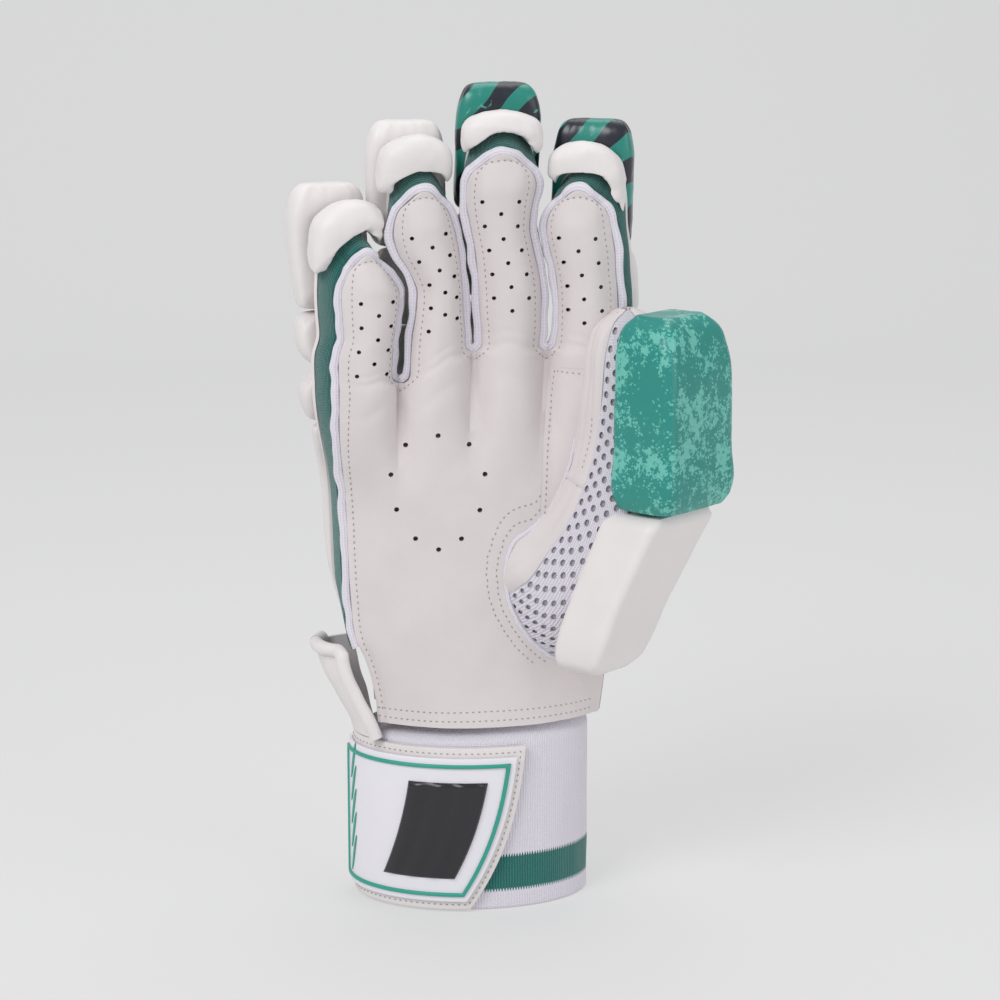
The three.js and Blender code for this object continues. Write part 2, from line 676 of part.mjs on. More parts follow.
// The wall's boundary in order, from the wrist up round every finger to the web.
function outlinePlaces() {
  const places = [];
  for (const h of PALM_STATIONS.filter((s) => s >= WRIST_SHARE)) {
    places.push({ i: 0, u: -1, h, side: "outer" });
  }
  for (let i = 0; i < 4; i += 1) {
    for (const h of FINGER_STATIONS.slice(0, -1)) {
      places.push({ i, u: -1, h, side: i === 0 ? "outer" : "slit" });
    }
    for (const u of [-1, -0.5, 0, 0.5, 1]) places.push({ i, u, h: 1, side: "tip" });
    for (const h of FINGER_STATIONS.slice(0, -1).reverse()) {
      places.push({ i, u: 1, h, side: i === 3 ? "outer" : "slit" });
    }
    if (i < 3) places.push({ i, u: 1, h: 0, side: "crotch" });
  }
  for (const h of PALM_STATIONS.filter((s) => s >= WEB_SHARE).reverse()) {
    places.push({ i: 3, u: 1, h, side: "outer" });
  }
  return places;
}

// Frames along a boundary of the front or back wall: the point, the direction out of
// the sheet in its own surface, and the direction into the hand.
function boundaryFrames(places, back) {
  const at = (i, u, h) => wallPoint(i, u, h, back, edgeInset);
  const points = places.map(({ i, u, h, side }) =>
    side === "crotch" ? at(i, 1, 0).lerp(at(i + 1, -1, 0), 0.5) : at(i, u, h),
  );
  return places.map((spot, k) => {
    const before = points[Math.max(k - 1, 0)];
    const after = points[Math.min(k + 1, points.length - 1)];
    const tangent = after.clone().sub(before).normalize();
    const turn = radians(FINGERS[spot.i].turn);
    const depth = new THREE.Vector3(-Math.sin(turn), Math.cos(turn), 0);
    const out = tangent.clone().cross(depth).normalize();
    const inward = out.clone().cross(tangent).normalize();
    if (inward.y < 0 !== back) inward.negate();
    return { ...spot, point: points[k], out, inward };
  });
}

// The knit edge that shows round the palm leather: one strip swept along its outline.
function makeRim() {
  const middle = LEATHER / 2;
  const profile = [
    { across: 0, deep: middle },
    { across: 0.5, deep: middle - 0.5 * RIM_THICKNESS },
    { across: 1, deep: middle },
    { across: 0.5, deep: middle + 0.5 * RIM_THICKNESS },
  ];
  const rings = boundaryFrames(outlinePlaces(), false).map(({ point, out, inward, side }) => {
    const reach = side === "crotch" ? 0.35 : 1;
    return profile.map(({ across, deep }) =>
      point
        .clone()
        .addScaledVector(out, (SEAM + across * RIM_WIDTH) * reach)
        .addScaledVector(inward, deep),
    );
  });
  add("palm_rim", geometryOf(besideThumb(solidOf(loft(rings)))), "lining");
}

// A knit side wall between the palm's rim and the back panel along a boundary.
function sideWall(fronts, backs) {
  const rings = fronts.map((front, k) => {
    const back = backs[k];
    const bulge = front.side === "slit" ? SLIT_BULGE : GUSSET_BULGE;
    const start = front.point
      .clone()
      .addScaledVector(front.out, SEAM + 0.5 * RIM_WIDTH)
      .addScaledVector(front.inward, LEATHER / 2 + RIM_THICKNESS / 2 + SEAM);
    const end = back.point
      .clone()
      .addScaledVector(back.out, -KNIT)
      .addScaledVector(back.inward, LEATHER + 2 * SEAM);
    const out = front.out.clone().add(back.out).normalize();
    const middle = start.clone().lerp(end, 0.5).addScaledVector(out, bulge);
    const half = out.clone().multiplyScalar(KNIT / 2);
    const line = [start, middle, end];
    return [
      ...line.map((p) => p.clone().add(half)),
      ...line.reverse().map((p) => p.clone().sub(half)),
    ];
  });
  return besideThumb(solidOf(loft(rings)));
}

function makeGussets() {
  const places = outlinePlaces().filter(({ side }) => side !== "crotch");
  const fronts = boundaryFrames(places, false);
  const backs = boundaryFrames(places, true);
  FINGERS.forEach(({ name }, i) => {
    const own = (frames) => frames.filter((frame) => frame.i === i);
    add(name + "_gusset", geometryOf(sideWall(own(fronts), own(backs))), "green_knit");
  });
  const heel = PALM_STATIONS.filter((s) => s < WRIST_SHARE + 0.01)
    .map((h) => ({ i: 3, u: 1, h, side: "outer" }))
    .reverse();
  const heelWall = sideWall(boundaryFrames(heel, false), boundaryFrames(heel, true));
  add("heel_gusset", geometryOf(heelWall), "white_knit");
}

// A point of finger i's pad: across from -1 to 1, at height z, proud of the back wall.
function padPoint(i, across, z, proud) {
  const finger = FINGERS[i];
  const root = rootHeight + mix(rootRises[i], rootRises[i + 1], (across + 1) / 2);
  if (z < root) {
    return handPoint(i, across * PAD_SPREAD, (z - palmBottom) / (root - palmBottom), true, 0, proud);
  }
  const lineZ = Math.min(z, tipHeight(i, false));
  const [left, right] = [lineX(i, lineZ), lineX(i + 1, lineZ)];
  const seat = smoothstep(z, root, root + KNUCKLE_DROP);
  const half = mix(((right - left) / 2) * PAD_SPREAD, FINGER_PADS[i].width / 2, seat);
  const centre = (left + right) / 2 + FINGER_PADS[i].shift * seat;
  return place(i, centre, across * half, z, true, Math.abs(across), proud);
}

// Heights of a pad's sections with their sizes, rounded over at both ends.
function padLevels(low, high) {
  const rounding = Math.min(PAD_END, (high - low) / 3);
  const lower = PAD_ENDING.map((row) => ({ ...row, z: low + row.up * rounding }));
  const upper = PAD_ENDING.map((row) => ({ ...row, z: high - row.up * rounding })).reverse();
  const steps = Math.ceil((high - low - 2 * rounding) / PAD_STEP);
  const middle = Array.from({ length: steps - 1 }, (_, k) => {
    const z = mix(low + rounding, high - rounding, (k + 1) / steps);
    return { z, wide: 1, thick: 1 };
  });
  return [...lower, ...middle, ...upper];
}

function fingerPad(i, low, high, thickness) {
  const rings = padLevels(low, high).map(({ z, wide, thick }) =>
    PAD_SECTION.map(({ across, out }) => {
      const share = 0.45 + (out - 0.45) * thick;
      return padPoint(i, across * wide, z, PAD_GAP + share * thickness);
    }),
  );
  return loft(rings);
}

function makeFingerPads() {
  FINGERS.forEach(({ name }, i) => {
    const top = tipHeight(i, false) + ROLL_RISE;
    const root = rootHeight + (rootRises[i] + rootRises[i + 1]) / 2;
    const knuckle = root - KNUCKLE_DROP;
    const tipRollLow = top - TIP_ROLL_LENGTH;
    const middle = (tipRollLow + knuckle) / 2;
    const handPadLow = palmBottom + WRIST_PAD_HEIGHT + ROLL_GAP;
    const printed = name === "middle" || name === "index";
    const half = ROLL_GAP / 2;
    const roll = (low, high) => fingerPad(i, low, high, ROLL_THICKNESS);
    add(name + "_tip_roll", roll(tipRollLow, top), printed ? "print" : "pearl");
    add(name + "_mid_roll", roll(middle + half, tipRollLow - ROLL_GAP), "pearl");
    add(name + "_base_roll", roll(knuckle, middle - half), "pearl");
    const handPad = fingerPad(i, handPadLow, knuckle - ROLL_GAP, HAND_PAD_THICKNESS);
    add(name + "_hand_pad", handPad, "pearl");
  });
}

// A point on the back of the hand: across from -1 to 1 between its outer edges.
function backHandPoint(across, z, proud) {
  const x = mix(lineX(0, z), lineX(4, z), (across + 1) / 2);
  return new THREE.Vector3(x, handDepth(x, z, true) + proud, z);
}

function makeWristPad() {
  const columns = [-1, -0.5, 0, 0.5, 1];
  const rings = padLevels(palmBottom + SEAM, palmBottom + WRIST_PAD_HEIGHT).map(
    ({ z, wide, thick }) => {
      const at = (across, out) => {
        const share = 0.4 + (out - 0.4) * thick;
        const reach = across * wide * WRIST_PAD_SPAN;
        return backHandPoint(reach, z, WRIST_PAD_GAP + share * WRIST_PAD_THICKNESS);
      };
      return [
        ...columns.map((across) => at(0.96 * across, 0)),
        at(1, 0.4),
        ...columns.map((across) => at(-0.94 * across, Math.abs(across) === 1 ? 0.82 : 1)),
        at(-1, 0.4),
      ];
    },
  );
  add("wrist_pad", loft(rings), "pearl");
}

// All that the end of a finger's stall takes up, with a clearance round it.
function stallTip(i, clearance) {
  const points = [];
  for (const h of [0.62, 0.8, 0.93, 1]) {
    for (const u of [-1, -0.5, 0, 0.5, 1]) {
      const front = fingerPoint(i, u, h, false, edgeInset, RIM_THICKNESS / 2);
      const rear = fingerPoint(i, u, h, true, edgeInset, clearance);
      const aside = (RIM_WIDTH + SEAM + clearance) * u;
      const above = h === 1 ? RIM_WIDTH + GUSSET_BULGE + SEAM + clearance : 0;
      points.push([front.x + aside, front.y, front.z + above]);
      if (u % 1 === 0) points.push([rear.x + aside, rear.y, rear.z + above]);
    }
  }
  return wasm.Manifold.hull(points);
}

// Padded leather caps above the fingertips, in front of the rolls.
function makeCaps() {
  FINGERS.forEach((finger, i) => {
    const tip = tipHeight(i, false);
    const { width, capHeight, capRise, capShift, droopSide } = FINGER_PADS[i];
    const centre = (lineX(i, tip) + lineX(i + 1, tip)) / 2 + capShift;
    const half = width / 2 - CAP_NARROWING;
    const rings = CAP_ENDING.map(({ across, size }) =>
      CAP_SECTION.map(({ out, up }) => {
        const droop = CAP_DROOP * Math.max(across * droopSide, 0) ** 2;
        const sag = CAP_SAG * across * across;
        const low = tip + capRise - droop - sag;
        const high = tip + capHeight - 0.2 * droop - sag;
        const z = mix(low, high, 0.5 + (up - 0.5) * size);
        const deep = CAP_DEPTH * (0.1 + (out - 0.1) * size) - FINGER_BACK;
        return place(i, centre, across * half, z, true, 1, deep);
      }),
    );
    let cap = solidOf(loft(rings));
    FINGERS.forEach((_, k) => {
      cap = cap.subtract(stallTip(k, k === i ? CAP_SEAM : CAP_GAP));
    });
    add(finger.name + "_cap", geometryOf(largestBody(cap)), "pearl");
  });
}

// A point on the thumb stall: how far along it, the angle round its axis in degrees,
// and how far outside its wall.
function thumbPoint(along, angle, outside) {
  const at = (column) => course(THUMB_COURSE, "along", column, along);
  const pitch = radians(at("pitch"));
  const heading = radians(at("heading"));
  const axis = new THREE.Vector3(
    Math.cos(pitch) * Math.cos(heading),
    Math.cos(pitch) * Math.sin(heading),
    Math.sin(pitch),
  );
  const side = new THREE.Vector3(-Math.sin(heading), Math.cos(heading), 0);
  const up = axis.clone().cross(side);
  const deep = at("deep") * THUMB_LENGTH + outside;
  const across = at("across") * THUMB_LENGTH + outside;
  return new THREE.Vector3(at("x"), at("y"), at("z"))
    .multiplyScalar(THUMB_LENGTH)
    .add(THUMB_ROOT)
    .addScaledVector(side, deep * Math.cos(radians(angle)))
    .addScaledVector(up, across * Math.sin(radians(angle)));
}

// All that the thumb stall takes up, with a clearance round it.
function thumbSpace(clearance) {
  const sides = 20;
  const rings = THUMB_STATIONS.map((along) =>
    Array.from({ length: sides }, (_, k) => thumbPoint(along, (360 * k) / sides, clearance)),
  );
  return solidOf(loft(rings));
}

function makeThumb() {
  for (const { name, finish, from, to, columns } of THUMB_PANELS) {
    const points = THUMB_STATIONS.flatMap((along) => {
      const radius = course(THUMB_COURSE, "along", "deep", along) * THUMB_LENGTH;
      const gap = Math.min((PANEL_SEAM / radius) * (90 / Math.PI), 8);
      const edges = {
        rearSeam: REAR_SEAM,
        meshStart: course(PANEL_COURSE, "along", "meshStart", along),
        meshEnd: course(PANEL_COURSE, "along", "meshEnd", along),
        fullTurn: REAR_SEAM + 360,
      };
      const start = edges[from] + gap;
      const end = edges[to] - gap;
      return Array.from({ length: columns + 1 }, (_, c) =>
        thumbPoint(along, mix(start, end, c / columns), 0),
      );
    });
    const quads = [];
    for (let row = 0; row < THUMB_STATIONS.length - 1; row += 1) {
      for (let c = 0; c < columns; c += 1) {
        const k = row * (columns + 1) + c;
        quads.push([k, k + 1, k + columns + 2, k + columns + 1]);
      }
    }
    add(name, thicken({ points, quads }, LEATHER), finish);
  }
}

// A level section of a thumb guard: a rounded rectangle, turned to face the thumb.
function guardSection({ x, y, z, thick, wide }) {
  const centre = new THREE.Vector3(x, y, z).multiplyScalar(THUMB_LENGTH).add(THUMB_ROOT);
  const turn = radians(GUARD_TURN);
  const [halfThick, halfWide] = [(GUARD_THICKNESS / 2) * thick, (GUARD_WIDTH / 2) * wide];
  const corner = GUARD_CORNER * halfThick;
  const corners = [
    { across: 1, out: 1 },
    { across: 1, out: -1 },
    { across: -1, out: -1 },
    { across: -1, out: 1 },
  ];
  return corners.flatMap(({ across, out }, k) => {
    const ends = [
      { a: halfWide, o: halfThick - corner },
      { a: halfWide - 0.3 * corner, o: halfThick - 0.3 * corner },
      { a: halfWide - corner, o: halfThick },
    ];
    return (k % 2 ? ends : ends.reverse()).map(({ a, o }) => {
      const [acrossBy, outBy] = [across * a, out * o];
      return new THREE.Vector3(
        centre.x + outBy * Math.cos(turn) - acrossBy * Math.sin(turn),
        centre.y + outBy * Math.sin(turn) + acrossBy * Math.cos(turn),
        centre.z,
      );
    });
  });
}

function makeGuards() {
  const stall = thumbSpace(THUMB_SEAM);
  const guard = (sections) => geometryOf(solidOf(loft(sections.map(guardSection))).subtract(stall));
  add("thumb_tip_guard", guard(TIP_GUARD_COURSE), "print");
  add("thumb_base_guard", guard(BASE_GUARD_COURSE), "pearl");
}

// A point on the cuff's outside, at an angle in degrees, outside by a distance.
function cuffPoint(angle, z, outside) {
  const tucked = smoothstep(z, CUFF_HEIGHT - SHOULDER_BELOW, CUFF_HEIGHT + SHOULDER_ABOVE);
  const narrow = outside - TUCK_NARROWING * tucked;
  return new THREE.Vector3(
    CUFF_CENTRE + TUCK_SHIFT * tucked + (CUFF_WIDTH / 2 + narrow) * Math.cos(radians(angle)),
    (CUFF_DEPTH / 2 + narrow) * Math.sin(radians(angle)),
    z,
  );
}

// A closed tube of sections, the last joined to the first.
function hoop(sections) {
  const n = sections[0].length;
  const faces = sections.flatMap((_, s) => {
    const next = (s + 1) % sections.length;
    return sections[0].map((_, k) => {
      const after = (k + 1) % n;
      return [s * n + k, s * n + after, next * n + after, next * n + k];
    });
  });
  return geometry(sections.flat(), faces);
}

function makeCuff() {
  const rim = 0.25 * CUFF_WALL;
  const profile = [
    { z: 0, outside: -rim },
    { z: 0.8, outside: 0 },
    { z: CUFF_HEIGHT - SHOULDER_BELOW, outside: 0 },
    { z: CUFF_HEIGHT + SHOULDER_ABOVE, outside: 0 },
    { z: CUFF_HEIGHT + CUFF_TUCK, outside: 0 },
    { z: CUFF_HEIGHT + CUFF_TUCK, outside: -CUFF_WALL },
    { z: CUFF_HEIGHT + SHOULDER_ABOVE, outside: -CUFF_WALL },
    { z: CUFF_HEIGHT - SHOULDER_BELOW, outside: -CUFF_WALL },
    { z: 0.8, outside: -CUFF_WALL },
    { z: 0, outside: -CUFF_WALL + rim },
  ];
  const sides = 24;
  const sections = Array.from({ length: sides }, (_, k) =>
    profile.map(({ z, outside }) => cuffPoint((360 * k) / sides, z, outside)),
  );
  add("cuff", hoop(sections), "white_knit");
}

const strapTop = STRAP_LIFT + STRAP_HEIGHT;

// Angle round the cuff where the strap ends at height z: its end slants and its lower
// corner is rounded.
function strapEnd(z, margin) {
  const down = (strapTop - z) / STRAP_HEIGHT;
  const slant = STRAP_SLANT * (0.35 * down + 0.65 * down ** 2.6);
  return 360 + STRAP_END - slant - margin;
}

// The turn round the cuff that a distance across its front takes.
function frontDegrees(distance) {
  return (distance / (CUFF_WIDTH / 2)) * (180 / Math.PI);
}

// A band on the cuff from one angle to the strap's slanted end, drawn in by a margin.
function cuffBand({ start, margin, outside, thickness, columns, rows }) {
  const points = [];
  for (let r = 0; r <= rows; r += 1) {
    const z = mix(STRAP_LIFT + margin, strapTop - margin, r / rows);
    for (let c = 0; c <= columns; c += 1) {
      const angle = mix(start, strapEnd(z, frontDegrees(margin)), c / columns);
      points.push(cuffPoint(angle, Math.min(z, CUFF_HEIGHT - SHOULDER_BELOW), outside).setZ(z));
    }
  }
  const quads = [];
  for (let r = 0; r < rows; r += 1) {
    for (let c = 0; c < columns; c += 1) {
      const k = r * (columns + 1) + c;
      quads.push([k, k + 1, k + columns + 2, k + columns + 1]);
    }
  }
  return thicken({ points, quads }, thickness);
}

const strapOutside = 2 * SEAM + STRAP_THICKNESS;
const faceOutside = strapOutside + SEAM + FACE_THICKNESS;

function makeStrap() {
  add(
    "strap",
    cuffBand({
      start: STRAP_START,
      margin: 0,
      outside: strapOutside,
      thickness: STRAP_THICKNESS,
      columns: 16,
      rows: 3,
    }),
    "lining",
  );
  add(
    "strap_face",
    cuffBand({
      start: FACE_START,
      margin: FACE_MARGIN,
      outside: faceOutside,
      thickness: FACE_THICKNESS,
      columns: 12,
      rows: 3,
    }),
    "moulded",
  );
}

// Places round the badge's border, in order: share across the face and height.
function borderPath(margin) {
  const low = STRAP_LIFT + margin;
  const high = strapTop - margin;
  const path = [];
  for (let c = 0; c <= 8; c += 1) path.push({ across: c / 8, z: low });
  for (const share of [0.33, 0.67]) path.push({ across: 1, z: mix(low, high, share) });
  for (let c = 8; c >= 0; c -= 1) path.push({ across: c / 8, z: high });
  path.push({ across: 0, z: (low + high) / 2 });
  return path;
}

function makeBorder() {
  const at = (margin, outside) => {
    return borderPath(margin).map(({ across, z }) => {
      const start = FACE_START + frontDegrees(margin);
      const angle = mix(start, strapEnd(z, frontDegrees(margin)), across);
      return cuffPoint(angle, z, outside);
    });
  };
  const base = faceOutside + SEAM;
  const outer = FACE_MARGIN + BORDER_MARGIN;
  const inner = outer + BORDER_WIDTH;
  const edges = [
    at(outer, base),
    at(outer, base + BORDER_HEIGHT),
    at(inner, base + BORDER_HEIGHT),
    at(inner, base),
  ];
  add("badge_border", hoop(edges[0].map((_, k) => edges.map((edge) => edge[k]))), "green_rubber");
}

// A ribbed pad to pull the strap by.
function makeGrip() {
  const columns = 2 * GRIP_RIBS + 1;
  const low = STRAP_LIFT + GRIP_MARGIN;
  const top = strapTop - GRIP_MARGIN;
  const at = (c, z, height) => {
    const end = strapEnd(z, frontDegrees(GRIP_MARGIN));
    const start = end - frontDegrees(GRIP_WIDTH);
    return cuffPoint(mix(start, end, c / columns), z, faceOutside + SEAM + height);
  };
  const n = columns + 1;
  const levels = [low, (low + top) / 2, top];
  const grid = (height) =>
    levels.flatMap((z) => Array.from({ length: n }, (_, c) => at(c, z, height(c))));
  const outer = grid((c) => (c % 4 === 1 || c % 4 === 2 ? GRIP_HEIGHT : 0.5 * GRIP_HEIGHT));
  const quads = [];
  for (let row = 0; row < levels.length - 1; row += 1) {
    for (let c = 0; c < columns; c += 1) {
      const k = row * n + c;
      quads.push([k, k + 1, k + n + 1, k + n]);
    }
  }
  add("badge_grip", slab(outer, grid(() => 0), quads), "black_rubber");
}

// Top edge of the flap, which curls from the back round the little finger's side: out
// from the hand's edge as shares of the flap's reach, and its depth.
const FLAP_COURSE = [
  { round: 0, out: -0.25, y: 12.5 },
  { round: 0.25, out: 0.55, y: 8 },
  { round: 0.5, out: 0.85, y: 0 },
  { round: 0.75, out: 0.7, y: -8 },
  { round: 1, out: 0.2, y: -13 },
];


function flapPoint(round, z) {
  const up = (z - FLAP_LOW) / (FLAP_HIGH - FLAP_LOW);
  const low = cuffPoint(FLAP_START + FLAP_TURN * round, FLAP_LOW, LEATHER + 2 * SEAM);
  const out = course(FLAP_COURSE, "round", "out", round) * FLAP_OUT;
  const high = new THREE.Vector3(
    lineX(0, FLAP_HIGH) - FLAP_CLEAR - out,
    course(FLAP_COURSE, "round", "y", round),
    z,
  );
  return low.lerp(high, smoothstep(up, -0.2, 1)).setZ(z);
}

function makeFlap() {
  const rows = 4;
  const columns = 6;
  const points = [];
  for (let r = 0; r <= rows; r += 1) {
    for (let c = 0; c <= columns; c += 1) {
      points.push(flapPoint(c / columns, mix(FLAP_LOW, FLAP_HIGH, r / rows)));
    }
  }
  const quads = [];
  for (let r = 0; r < rows; r += 1) {
    for (let c = 0; c < columns; c += 1) {
      const k = r * (columns + 1) + c;
      quads.push([k, k + 1, k + columns + 2, k + columns + 1]);
    }
  }
  add("wrist_flap", thicken({ points, quads }, LEATHER), "leather");
  const stations = 6;
  const rings = Array.from({ length: stations }, (_, r) => {
    const z = mix(FLAP_LOW, FLAP_HIGH, r / (stations - 1));
    const edge = flapPoint(1, z);
    const centre = edge.add(new THREE.Vector3(0.5, -BINDING_RADIUS - SEAM, 0));
    return Array.from({ length: 8 }, (_, k) => {
      const angle = (2 * Math.PI * k) / 8;
      return centre
        .clone()
        .add(new THREE.Vector3(Math.cos(angle), Math.sin(angle), 0).multiplyScalar(BINDING_RADIUS));
    });
  });
  add("flap_binding", loft(rings), "leather");
}

makePalm();
makeRim();
makeGussets();
makeBack();
makeFingerPads();
makeWristPad();
makeCaps();
makeThumb();
makeGuards();
makeCuff();
makeStrap();
makeBorder();
makeGrip();
makeFlap();

const extent = new THREE.Box3().setFromObject(glove);
const middle = extent.getCenter(new THREE.Vector3());
glove.position.set(-middle.x, -middle.y, -extent.min.z);

export default glove;
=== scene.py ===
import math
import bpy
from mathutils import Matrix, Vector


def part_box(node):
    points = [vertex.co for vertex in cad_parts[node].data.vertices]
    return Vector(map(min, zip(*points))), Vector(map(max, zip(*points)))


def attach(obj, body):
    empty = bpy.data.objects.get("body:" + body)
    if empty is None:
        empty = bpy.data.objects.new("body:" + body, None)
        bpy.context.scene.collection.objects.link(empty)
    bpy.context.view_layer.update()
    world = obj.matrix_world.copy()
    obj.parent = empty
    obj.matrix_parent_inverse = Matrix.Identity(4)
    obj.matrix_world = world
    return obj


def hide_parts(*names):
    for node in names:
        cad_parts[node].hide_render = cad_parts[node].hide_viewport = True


bl_info = {
    "name": "Cricket batting glove",
    "version": (1, 0, 0),
    "blender": (4, 5, 0),
    "location": "View3D > Sidebar > Glove",
    "description": "Dresses the packed frame of a padded batting glove in leather, foam and knit",
    "category": "Object",
}

import bpy
import numpy as np
from bpy.props import FloatProperty, FloatVectorProperty, PointerProperty
from mathutils import Vector, noise
from mathutils.bvhtree import BVHTree

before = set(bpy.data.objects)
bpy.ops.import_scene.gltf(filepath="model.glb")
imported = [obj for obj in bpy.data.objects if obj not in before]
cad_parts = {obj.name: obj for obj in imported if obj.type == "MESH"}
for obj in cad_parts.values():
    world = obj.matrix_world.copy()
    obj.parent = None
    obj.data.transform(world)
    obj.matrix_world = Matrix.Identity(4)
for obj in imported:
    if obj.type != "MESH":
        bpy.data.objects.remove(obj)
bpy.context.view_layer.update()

# Sizes of the solids, in millimetres, from the part's source.
SEAM = 0.35
LEATHER = 1.3
KNIT = 1.3
RIM_WIDTH = 2.3
RIM_THICKNESS = 2.6
EDGE_INSET = RIM_WIDTH + 1.5 * SEAM
CUFF_HEIGHT = 65
CUFF_TUCK = 7
CUFF_WIDTH = 81
CUFF_DEPTH = 54
CUFF_WALL = 2.2
CUFF_CENTRE = -12.2
TUCK_NARROWING = 6.4
TUCK_SHIFT = 5
PALM_LEFT = -63.1
PALM_LENGTH = 120
PALM_BOTTOM = CUFF_HEIGHT + 1.5
ROOT_HEIGHT = PALM_BOTTOM + PALM_LENGTH
PALM_EDGE_DEPTH = 10
PALM_CROWN = 11
BACK_EDGE_DEPTH = 12
BACK_CROWN = 5
FINGERS = [
    {"name": "pinky", "width": 24.5, "length": 44, "rise": 0, "turn": 20},
    {"name": "ring", "width": 25.8, "length": 65, "rise": 0, "turn": 10},
    {"name": "middle", "width": 24.9, "length": 67.5, "rise": 10, "turn": 0},
    {"name": "index", "width": 28.4, "length": 55, "rise": 10, "turn": -16},
]
FINGER_REACH = 70
ROOT_BLEND = 0.6
FINGER_FRONT = 4
FINGER_CROWN = 8
FINGER_BACK = 7
FINGER_BACK_CROWN = 3
FINGER_CURL = 7
FINGER_SET_BACK = 6
TIP_ROUNDING = 12
TIP_TUCK = 2.5
TIP_ARCH = 3.6
CROTCH_RADIUS = 3.2
TIP_DROP = 2.2
OUTER_FLARE = 5.5
GUSSET_BULGE = 1.2
FLARE_START = 92
FLARE_FULL = 116
INNER_FLARE = 4
INNER_FLARE_START = 190
INNER_FLARE_FULL = 208
BACK_OVERHANG = 10
THUMB_ROOT = np.array([14.0, -3.0, 120.0])
THUMB_LENGTH = 75
REAR_SEAM = 25
GUARD_THICKNESS = 26
GUARD_WIDTH = 38
GUARD_TURN = -45
GUARD_CORNER = 0.3
STRAP_HEIGHT = 59
STRAP_LIFT = 1
STRAP_TOP = STRAP_LIFT + STRAP_HEIGHT
STRAP_THICKNESS = 2
STRAP_START = 90
STRAP_END = -68
STRAP_SLANT = 27
STRAP_OUTSIDE = 2 * SEAM + STRAP_THICKNESS
FACE_START = 172
FACE_THICKNESS = 1.2
FACE_MARGIN = 3.4
FACE_OUTSIDE = STRAP_OUTSIDE + SEAM + FACE_THICKNESS
BORDER_WIDTH = 1.4
BORDER_HEIGHT = 0.7
BORDER_MARGIN = 2
GRIP_RIBS = 7
GRIP_WIDTH = 26
GRIP_MARGIN = 12
FLAP_LOW = 60.5
FLAP_HIGH = 91.8
FLAP_OUT = 12
FLAP_CLEAR = 2
FLAP_START = 148
FLAP_TURN = 66
BINDING_RADIUS = 2.4
PATCH_LIFT = 0.5
EDGING_TUCK = 0.7
EDGING_RADIUS = 1.05
THUMB_CLEARANCE = 0.5
THUMB_PANEL_SEAM = -0.3
MESH_DEPTH = 0.85
MESH_HOLE = (0.95, 1.3)
MESH_PITCH = 4.3
MESH_EDGE = 2
THUMB_REACH = 105
WRIST_SHARE = -0.78
WEB_SHARE = -0.14
VENT_RADIUS = 0.75
PALM_VENT_RADIUS = 0.9
VENT_PITCH = 4.15
VENT_SPREAD = 0.56
FINGER_VENT_ROWS = [7, 9, 10, 8]
PALM_VENTS = 10
PALM_VENT_RING = {"x": -26, "z": 149, "half_width": 16, "half_height": 20}
STITCH_INSET = 2.2
HEM_INSET = 5.2
NOTCH_LOW = 88
NOTCH_HIGH = 168
CUFF_NECK = CUFF_HEIGHT - 4
BAR_PITCH = 8.6
BAR_WIDTH = 5.5
BAR_RISE = 13
BAR_THICKNESS = 4.6
BARS = 5

# The stage: millimetres of the source, metres, degrees and watts.
CAMERA_TARGET = (-3, 0, 141.93)
CAMERA_AZIMUTH = -5
CAMERA_ELEVATION = 12
SENSOR = 36
LENS = SENSOR * 2.841
FLOOR_HALF_WIDTH = 3000
FLOOR_HALF_DEPTH = 2500
FLOOR_FLAT = 1100
LIGHTS = {
    "key_light": {"place": (-0.75, -0.85, 1.05), "size": 0.7, "power": 10.5},
    "fill_light": {"place": (0.9, -0.7, 0.5), "size": 0.9, "power": 3.2},
    "top_light": {"place": (0.1, 0.35, 1.3), "size": 0.8, "power": 4.0},
}

# The same tables as the source: each row is a section, each column a named size.
LINE_COURSE = {
    "up": [-0.143, 0, 0.1, 0.2, 0.3, 0.4, 0.5, 0.63, 0.75, 0.87, 1],
    "outer": [0, 0.005, 0.075, 0.055, 0.045, 0.06, 0.08, 0.08, 0.08, 0.08, 0.08],
    "pinky_ring": [0.015, 0.035, 0.06, 0.105, 0.13, 0.03, -0.13, -0.2, -0.2, -0.2, -0.2],
    "ring_middle": [0, 0, -0.01, -0.035, -0.05, -0.07, -0.1, -0.17, -0.23, -0.24, -0.22],
    "middle_index": [0, 0, 0.03, 0.035, 0.03, -0.01, -0.08, -0.145, -0.11, -0.05, -0.05],
    "inner": [0, -0.01, -0.025, -0.045, -0.06, -0.09, -0.11, -0.165, -0.18, -0.19, -0.19],
}
LINES = ["outer", "pinky_ring", "ring_middle", "middle_index", "inner"]
PALM_COURSE = {
    "up": [0, 0.08, 0.18, 0.24, 0.36, 0.66, 0.9, 1],
    "outer_in": [0.125, 0.116, 0.086, 0.056, 0.04, 0.025, 0.003, 0],
    "inner_in": [0.061, 0.05, 0.04, 0.036, 0.03, 0.018, 0.005, 0],
    "outer_deep": [1.3, 1.2, 1.1, 1, 0.95, 1, 1.1, 1.1],
    "inner_deep": [0.6, 0.7, 0.8, 0.85, 0.9, 1, 1, 1],
    "crown": [1.5, 1.4, 1.25, 1.2, 1.1, 0.95, 0.85, 0.85],
}
END_ROUNDING = {"up": [0, 0.42, 0.65, 0.83, 1], "half": [1, 0.96, 0.89, 0.77, 0.52]}
